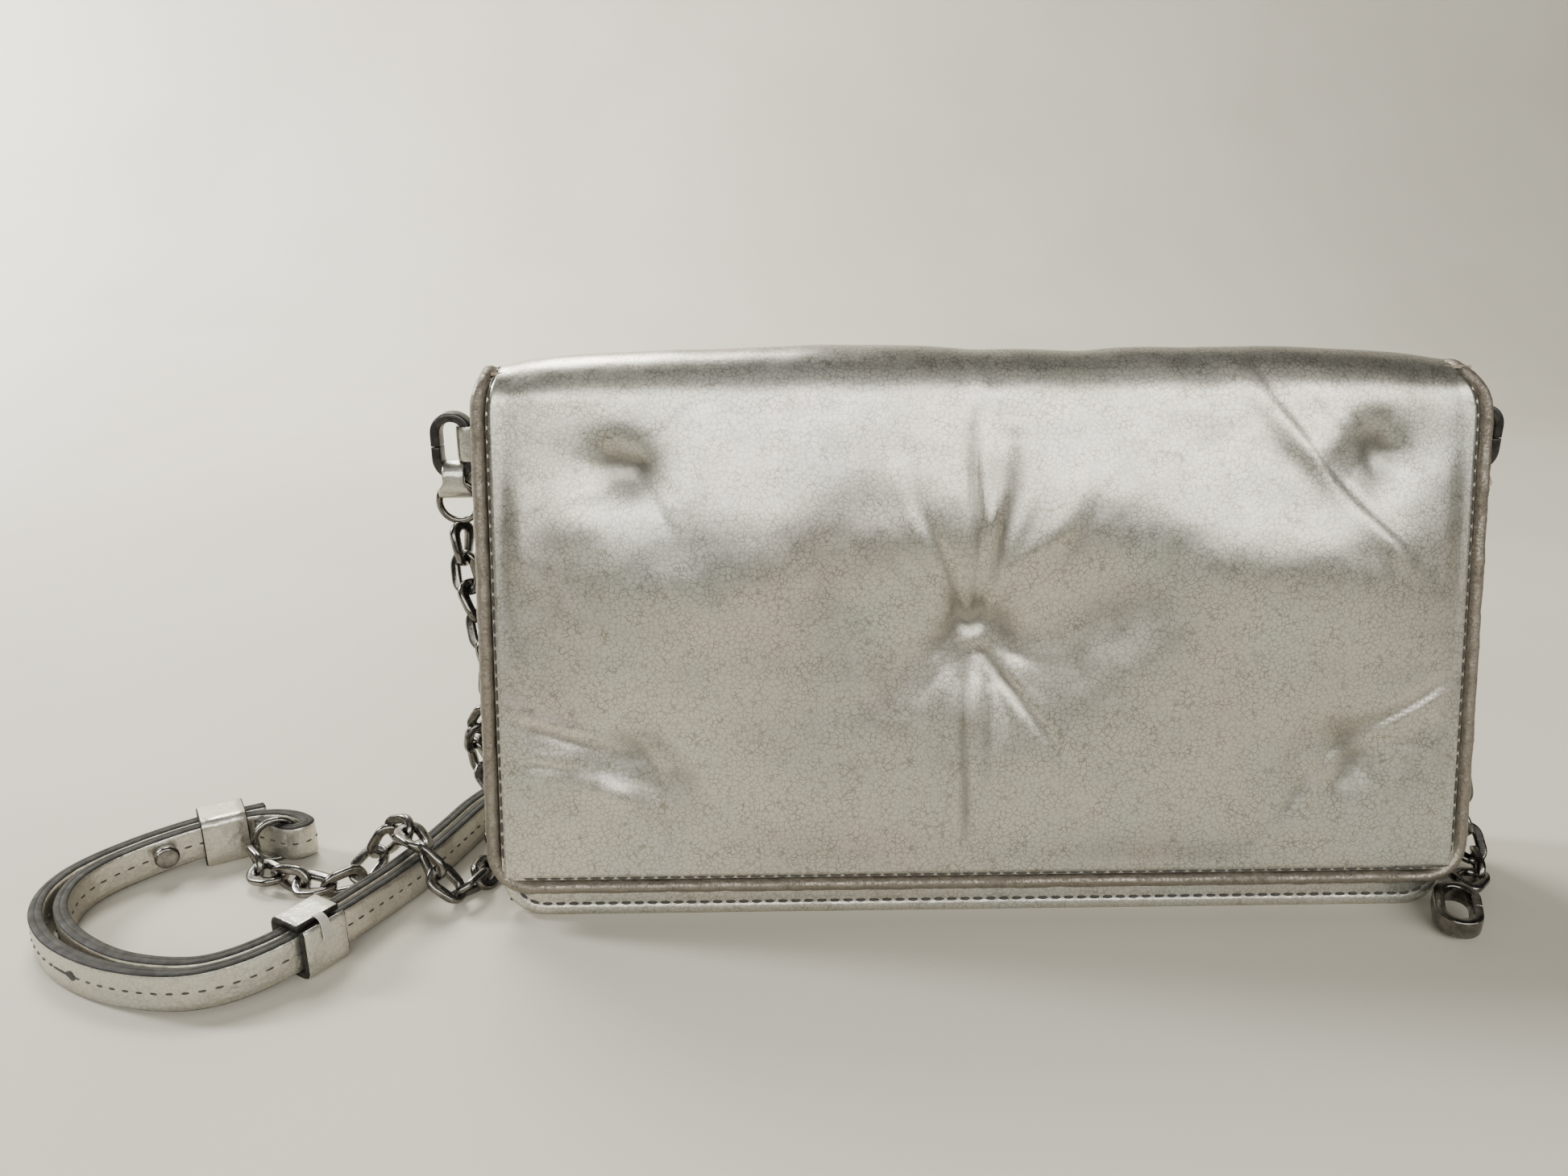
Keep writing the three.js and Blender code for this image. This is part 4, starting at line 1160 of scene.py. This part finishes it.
# Places on the flap are X and the height up the slope.
# Each fold's route, width, depth and lip.
FLAP_FOLDS = (
    ([(-2.6, 106), (-3.0, 92), (-2.0, 78), (-1.9, 62)], 1.4, 0.8, 0.7),
    ([(3.0, 63), (1.6, 74), (4.4, 86), (5.0, 98)], 1.5, 0.5, 0.6),
    ([(-5.0, 64), (-8.0, 74), (-13.0, 85), (-14.5, 95)], 2.0, 0.32, 0.7),
    ([(4.0, 62), (9.0, 71), (17.0, 79), (22.0, 88)], 2.2, 0.32, 0.7),
    ([(-3.0, 56), (-3.8, 40), (-3.0, 26), (-3.3, 12)], 1.1, 0.65, 0.7),
    ([(0.5, 53), (1.2, 40), (0.4, 25)], 1.0, 0.4, 0.6),
    ([(0.5, 56), (6, 48), (12, 40.5), (18.5, 31)], 1.2, 0.26, 0.4),
    ([(0.3, 55), (4, 45), (8, 35)], 1.0, 0.2, 0.4),
    ([(-4.6, 61), (-12, 69), (-18, 75), (-22, 81)], 1.3, 0.16, 0.5),
    ([(-90, 82), (-82, 86.5), (-75, 89.5)], 1.2, 0.1, 0.5),
    ([(-64, 98), (-58, 103), (-54, 106)], 1.1, 0.07, 0.5),
    ([(-67, 90), (-62.5, 84), (-60, 78)], 1.2, 0.1, 0.5),
    ([(52.0, 112), (55, 106), (59.7, 99.5), (66.4, 91), (76, 82), (88.5, 72)], 0.8, 0.26, 0.15),
    ([(61, 107), (66, 99.5), (70, 97)], 0.9, 0.12, 0.3),
    ([(-94, 43), (-86, 40.5), (-78, 38.2), (-71, 36)], 1.1, 0.4, 0.7),
    ([(-96, 35), (-88, 34), (-80, 33)], 1.1, 0.2, 0.7),
    ([(-76, 41), (-70, 38.8), (-65.5, 33), (-63.6, 25), (-61.6, 12)], 1.1, 0.4, 0.5),
    ([(97, 53), (88, 46.4), (77.5, 40.4), (70, 35.3), (64, 27), (57, 17)], 1.2, 0.5, 0.6),
    ([(95, 38), (87, 37), (80, 36)], 1.0, 0.16, 0.6),
)
# Each hollow's centre, size, angle in degrees and depth. A negative depth makes a lobe.
FLAP_DENTS = (
    ((-68.8, 93.0), (6.0, 4.6), -32, 1.6), ((-73.0, 89.5), (9.0, 7.0), -32, 0.9),
    ((76.2, 94.6), (6.2, 4.4), -58, 1.6), ((71.5, 91.5), (8.5, 6.5), -58, 0.8),
    ((-78.0, 84.0), (8.0, 7.0), 30, -0.7), ((66.0, 97.0), (4.0, 5.0), -58, -0.5),
    ((62.0, 69.0), (24.0, 11.0), -6, -1.1), ((-40.0, 72.0), (16.0, 9.0), 20, -0.5),
    ((26.0, 71.0), (12.0, 13.0), 15, 1.5), ((-30.0, 76.0), (8.0, 12.0), -25, 1.0),
    ((-14.0, 63.0), (7.0, 6.0), 15, -0.6), ((42.0, 62.0), (12.0, 9.0), 30, -0.5),
    ((-67.5, 34.0), (5.6, 4.4), -40, 2.2), ((73.5, 34.0), (4.6, 5.8), -8, 2.4),
    ((5.0, 84.0), (6.0, 12.0), -8, 0.6), ((-1.6, 59.8), (7.0, 5.5), 0, 1.9),
    ((-73.0, 28.5), (7.0, 3.0), -12, -0.6), ((67.5, 32.0), (3.0, 5.0), -10, -0.7),
    ((59.0, 97.5), (13.0, 2.6), -50, -0.8), ((79.0, 76.5), (9.0, 2.2), -45, -0.5),
    ((0.0, 77.0), (90.0, 14.0), 0, -2.2),
)


def flap_creases(x, at):
    """The flap's own folds, hollows and gathers."""
    v = at + FLAP_LOW
    made = np.zeros(x.shape)
    for fold in FLAP_FOLDS:
        made += fold_line(x, v, *fold)
    for hollow in FLAP_DENTS:
        made += dent(x, v, *hollow)
    made += fan(x, v, CENTRE_TUFT, 26, 30, 0.1, 5)
    made += fan(x, v, CENTRE_TUFT, 44, 14, 0.3, 9, (50, 130))
    made += fan(x, v, CENTRE_TUFT, 32, 14, 0.16, 6, (-80, -35))
    for i, centre in enumerate(HIGH_HOLLOWS + LOW_TUFTS):
        made += fan(x, v, centre, 15, 16, 0.08, 20 + i)
    return made


def back_creases(x, at):
    """Two faint bends from use."""
    below = at - FOLD_BACK
    made = fold_line(x, below, [(-80, 20), (-40, 26), (-8, 22)], 2.4, 0.35)
    return made + fold_line(x, below, [(30, 70), (60, 64), (88, 68)], 2.2, 0.3)


def wavy(x, at, depth):
    """The padding's slow unevenness."""
    flat = np.stack([x.ravel(), at.ravel()], axis=1)
    rough = [noise.noise(Vector((a / 21, b / 16, 3.1))) + 0.45 * noise.noise(Vector((a / 9, b / 8, 7.7)))
             for a, b in flat]
    return depth * np.array(rough).reshape(x.shape)


def dense_at_ends(low, high, step):
    """Places from low to high that lie closer near both ends."""
    ends = np.array([0.0, 0.3, 0.6, 0.95, 1.4, 2.0, 2.8])
    margin = 3.7
    middle = np.linspace(low + margin, high - margin, round((high - low - 2 * margin) / step) + 1)
    return np.concatenate([low + ends, middle, high - ends[::-1]])


def filled_sheet(half, start, end, tufts, pressure, grow):
    """The padded leather's own points, X, place and height, on a coarse grid."""
    gx, gs, from_edge, from_seam = rest_sheet(half, start, end, 2.0)
    held = (from_edge < 1.0) | (from_seam < 1.0)
    height = np.where(from_seam < 1.0, seam_height(gx, half), SEAM_RISE)
    for x, s in tufts:
        tuft = np.hypot(gx - x, gs - s) < TUFT_RADIUS
        held |= tuft
        height = np.where(tuft, TUFT_RISE, height)
    sheet = filled_by_cloth(gx, gs, held, height, pressure, grow)
    inside = smoothstep((np.minimum(from_edge, from_seam) - 3) / 8)
    sheet[..., 2] += (eased(sheet[..., 2], 6) - sheet[..., 2]) * inside
    return sheet


def worked_height(made, px, ps, edge, half, end, creases):
    """The fine grid's height, with creases, the seam at the spine and the ledge by the stitches."""
    to_seam = smoothstep(np.abs(ps - end) / 9)
    out = made[..., 2]
    folds = creases(made[..., 0], made[..., 1]) + wavy(px, ps, 0.35)
    out = out + folds * smoothstep((edge - 1) / 6) * to_seam
    out = out * to_seam + seam_height(px, half) * (1 - to_seam)
    out = np.where(out < LEAST_RISE, LEAST_RISE + (out - LEAST_RISE) * 0.45, out)
    return np.where(edge < 0.9, SEAM_RISE, np.maximum(out, SEAM_RISE * smoothstep((2.5 - edge) / 1.6)))


def closed_faces(rows, columns):
    """Faces of two grids of points, one behind the other, that are joined round their rims."""
    front = grid_faces(rows, columns)
    count = rows * columns
    rim = ([c for c in range(columns)] + [r * columns + columns - 1 for r in range(1, rows)]
           + [(rows - 1) * columns + c for c in range(columns - 2, -1, -1)]
           + [r * columns for r in range(rows - 2, 0, -1)])
    faces = [f[::-1] for f in front] + [[i + count for i in f] for f in front]
    return faces + [[a, b, b + count, a + count] for a, b in zip(rim, rim[1:] + rim[:1])]


def mark_hollow_shade(cover, out, edge, from_seam):
    """Writes how deep each point lies below the padding around it. The leather's material darkens these
    hollows with it, as painted shade.
    """
    inner = smoothstep((np.minimum(edge, from_seam) - 3) / 6)
    hollow_shade_mask = np.clip((eased(out, 60) - out) / 0.45 - 0.1, 0, 1) * inner
    # This value is the mask for the painted shade in the hollows.
    values = cover.data.attributes.new("hollow", "FLOAT", "POINT")
    values.data.foreach_set("value", np.concatenate([hollow_shade_mask.ravel(), np.zeros(hollow_shade_mask.size)]))


def make_cover(name, start, tufts, creases, pressure, grow, hinge, nodes):
    """Padded leather from a stitched lower edge to the middle of the spine, as one closed piece."""
    half, end = WIDTH / 2 - SEAM_INSET, SPINE_MIDDLE
    sheet = filled_sheet(half, start, end, tufts, pressure, grow)
    x = dense_at_ends(-half, half, COVER_STEP)
    s = np.sort(dense_at_ends(min(start, end), max(start, end), COVER_STEP))
    share = (x + half) / (2 * half)
    rows, columns = sheet.shape[:2]
    made = sample_grid(sheet, (s - start) / (end - start) * (rows - 1), share * (columns - 1))
    px, ps = np.meshgrid(x, s)
    edge = np.minimum(half - np.abs(px), np.abs(ps - start))
    out = worked_height(made, px, ps, edge, half, end, creases)
    across = drawn_across((made[..., 0] + half) / (2 * half), made[..., 1])
    face = on_shell(across, made[..., 1], out)
    back = on_shell(drawn_across((px + half) / (2 * half), ps), ps, -COVER_BACK)
    points = np.vstack([face.reshape(-1, 3), back.reshape(-1, 3)])
    cover = make_piece(name, points, closed_faces(*px.shape), SILVER, slot="silver_leather")
    mark_hollow_shade(cover, out, edge, np.abs(ps - end))
    hinge(cover)
    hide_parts(*nodes)


def make_shell():
    """The flap's and the back's padded covers, bindings and stitches. They meet at the spine's middle."""
    tufts = [(x, v - FLAP_LOW) for x, v in (CENTRE_TUFT, *LOW_TUFTS)]
    back = SHELL_END
    make_cover("flap_cushion", SEAM_INSET, tufts, flap_creases, 2.2, 0.002, hinge_front,
               ["flap_pad", "spine_pad"])
    make_cover("back_cushion", back - SEAM_INSET, [], back_creases, 0.8, 0.001, hinge_back,
               ["back_pad"])
    make_binding("flap_edge_binding", 0.0, SPINE_MIDDLE, hinge_front, ["flap_binding"])
    make_binding("back_edge_binding", back, SPINE_MIDDLE, hinge_back,
                 ["back_binding", "spine_binding_left", "spine_binding_right"])
    make_edge_stitches("flap_edge_stitches", 0.0, SPINE_MIDDLE, hinge_front)
    make_edge_stitches("back_edge_stitches", back, SPINE_MIDDLE, hinge_back)


# ---- body: front panel, gussets, side tabs and rings ----
GUSSET_SIDE = 96.4          # a gusset's edges, sideways from the middle
GUSSET_HEIGHTS = (2.5, 91.5)
TAB_ROOT = 92.0             # where a ring tab leaves the body, sideways from the middle
TAB_Z = 93.7
CHAIN_TAB_Z = 86.05
def body_outline(inset):
    """X and height up the slope, round the front panel's outline that is drawn in by an inset."""
    low_radius, high_radius = 9, 4
    half, low, high = BODY_WIDTH / 2 - inset, BODY_LOW + inset, BODY_TOP - inset
    points = []
    for x, z, radius, angle in ((-1, low, low_radius, 180), (1, low, low_radius, 270),
                                (1, high, high_radius, 0), (-1, high, high_radius, 90)):
        radius = max(radius - inset, 0.4)
        turn = np.radians(np.linspace(angle, angle + 90, 9))
        z_middle = z + radius if z == low else z - radius
        points += [(x * (half - radius) + radius * math.cos(a), z_middle + radius * math.sin(a))
                   for a in turn]
    return np.array(points)


def make_front_panel():
    """The panel under the flap, with a rolled lower edge, a stitched groove and a snap's hole left plain."""
    steps = [(0.0, -LEATHER), (0.0, -0.7), (0.2, -0.25), (0.55, 0.0), (1.0, 0.1), (1.6, 0.1), (2.0, 0.02),
             (2.3, -0.08), (2.7, -0.08), (3.1, 0.0), (5.0, 0.02), (8.0, 0.0), (20.0, 0.0)]
    rings = np.array([[on_front(x, v, rise - BODY_FACE) for x, v in body_outline(inset)]
                      for inset, rise in steps])
    rows, columns = rings.shape[:2]
    faces = grid_faces(rows, columns, around=True)
    faces += [[(rows - 1) * columns + c for c in range(columns)], list(range(columns))[::-1]]
    faces = [f[::-1] for f in faces]
    panel = make_piece("front_body_panel", rings.reshape(-1, 3), faces, BODY_SILVER, slot="silver_leather")
    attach(panel, "front")
    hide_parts("front_panel")
    line = resampled(body_outline(2.5), 0.8)
    places = np.array([on_front(x, v, 0.02 - BODY_FACE) for x, v in line])
    out = np.broadcast_to(on_front(0, 0, 1) - on_front(0, 0, 0), places.shape)
    stitch_row("front_body_stitches", places, out, STITCH_PITCH, 1.75, 0.6, "front")


def make_gusset(name, side, node):
    """A folded side wall of thin leather."""
    heights = np.linspace(*GUSSET_HEIGHTS, 30)
    share = np.linspace(0, 1, 17)
    inner = BODY_FACE + LEATHER + 0.3
    points = []
    for z in heights:
        front = FRONT_FOOT + inner / math.cos(FRONT_LEAN) + z * math.tan(FRONT_LEAN)
        back = BACK_FOOT - (BINDING_DEPTH + 0.3) / math.cos(BACK_LEAN) + z * math.tan(BACK_LEAN)
        for t in share:
            fold = (1 - abs(2 * t - 1) ** 1.6) * (7.2 - 1.2 * math.cos(z / 14))
            points.append((side * (GUSSET_SIDE - fold), front + t * (back - front), z))
    piece = make_piece(name, points, grid_faces(len(heights), len(share)), LINING, slot="lining_leather")
    thick = piece.modifiers.new("thickness", "SOLIDIFY")
    thick.thickness = 0.7 * MM
    thick.offset = 0
    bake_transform(piece)
    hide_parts(node)


def strip(name, line, across, width, thick, node, closed, widths=None):
    """A strip of silver leather with soft cut edges, folded along a line."""
    along = tangents(line, closed=closed)
    out = unit(np.cross(along, across))
    profile = ellipse_profile(thick, width, 6, 20)
    points, faces = sweep(line, out, across, profile, closed=closed, widths=widths)
    piece = make_piece(name, points, faces, STRAP_SILVER, slot="silver_leather")
    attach(piece, "carcass")
    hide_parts(node)


def make_side(word, ring_x):
    """The ring tab, ring and chain tab of one side."""
    side = math.copysign(1, ring_x)
    root = TAB_ROOT - abs(ring_x)
    turn = np.linspace(math.radians(-118), math.radians(118), 26)
    loop = [(-3.5 + 2.3 * math.cos(a), 2.75 * math.sin(a), 0) for a in turn]
    path = smooth_route([(root, -0.9, 0), (-10.9, -1.0, 0), (-7.9, -1.5, 0), *loop,
                         (-7.9, 1.5, 0), (-10.9, 1.0, 0), (root, 0.9, 0)], 0.4)
    line = np.stack([ring_x + side * path[:, 0], RING_Y + path[:, 1], np.full(len(path), TAB_Z)], axis=1)
    strip(f"{word}_side_tab", line, UP, 7.2, 1.0, f"{word}_ring_tab", False)
    oblong_ring(f"{word}_oblong_ring", (ring_x, RING_Y, RING_Z), (side, 0, 0), (0, 1, 0), (0, 0, 1),
                DARK_STEEL, f"{word}_ring", "dark_gunmetal")
    loop = stadium(7.0, 5.6, 0.35)
    height = CHAIN_TAB_Z + loop[:, 1]
    line = np.stack([np.full(len(loop), ring_x), RING_Y + loop[:, 0] * 1.08, height], axis=1)
    low = smoothstep((86.0 - height) / 2.5)
    strip(f"{word}_chain_loop", line, np.array([1.0, 0, 0]), 4.5, 1.1, f"{word}_chain_tab", True,
          1 + 0.55 * low)


def finish_cad_nodes():
    """Better materials and softened edges for the CAD nodes that stay."""
    looks = {
        LINING: ("front_lining", "front_slip_pocket", "flap_lining", "back_lining", "zip_pocket_front",
                 "zip_pocket_back", "zip_pocket_hem", *[f"card_panel_{i + 1}" for i in range(4)]),
        BOARD: ("flap_board", "back_board", "spine_board"),
        TAPE: ("zip_tape_front", "zip_tape_back"),
        STEEL: ("zip_stop_left", "zip_stop_right", "zip_slider", "zip_puller", "snap_cap", "snap_socket"),
        SILVER: ("base_panel",),
    }
    for material, names in looks.items():
        for name in names:
            node = NODES[name]
            node.data.materials.clear()
            node.data.materials.append(material)
            bevel = node.modifiers.new("soft_edges", "BEVEL")
            bevel.width = (0.1 if material is BOARD else 0.2) * MM
            bevel.segments = 2
            bevel.limit_method = "ANGLE"


def make_zip_teeth():
    """Two rows of metal teeth that mesh along the pocket's opening."""
    lean = math.radians(9)
    flow = np.array([0, math.sin(lean), math.cos(lean)])
    out = np.array([0, -flow[2], flow[1]])
    profile = ellipse_profile(0.85, 1.5, 4, 8)
    pitch = 1.5
    for word, sign, node in (("front", -1, "zip_teeth_front"), ("back", 1, "zip_teeth_back")):
        corner, far = (np.array(c) / MM + (0, MIDDLE_Y, 0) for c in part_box(node))
        middle = (corner + far) / 2
        parts = []
        for i in range(int((far[0] - corner[0]) // pitch)):
            centre = np.array([corner[0] + pitch * (i + 0.5 + 0.25 * sign), middle[1], middle[2]])
            line = [centre + flow * reach for reach in (-0.75, -0.4, 0.4, 0.75)]
            parts.append(sweep(line, np.array([1.0, 0, 0]), out, profile, widths=[0.75, 1.0, 1.0, 0.7]))
        piece = make_piece(f"zip_tooth_row_{word}", *joined(parts), STEEL, slot="gunmetal")
        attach(piece, "zip_pocket")
        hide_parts(node)


BODY_SILVER = silver_leather("body_silver", crackle=0.8, crinkle=0.6)
make_shell()
make_front_panel()
make_gusset("left_side_gusset", -1, "left_gusset")
make_gusset("right_side_gusset", 1, "right_gusset")
make_side("left", LEFT_RING_X)
make_side("right", RIGHT_RING_X)
make_zip_teeth()
finish_cad_nodes()
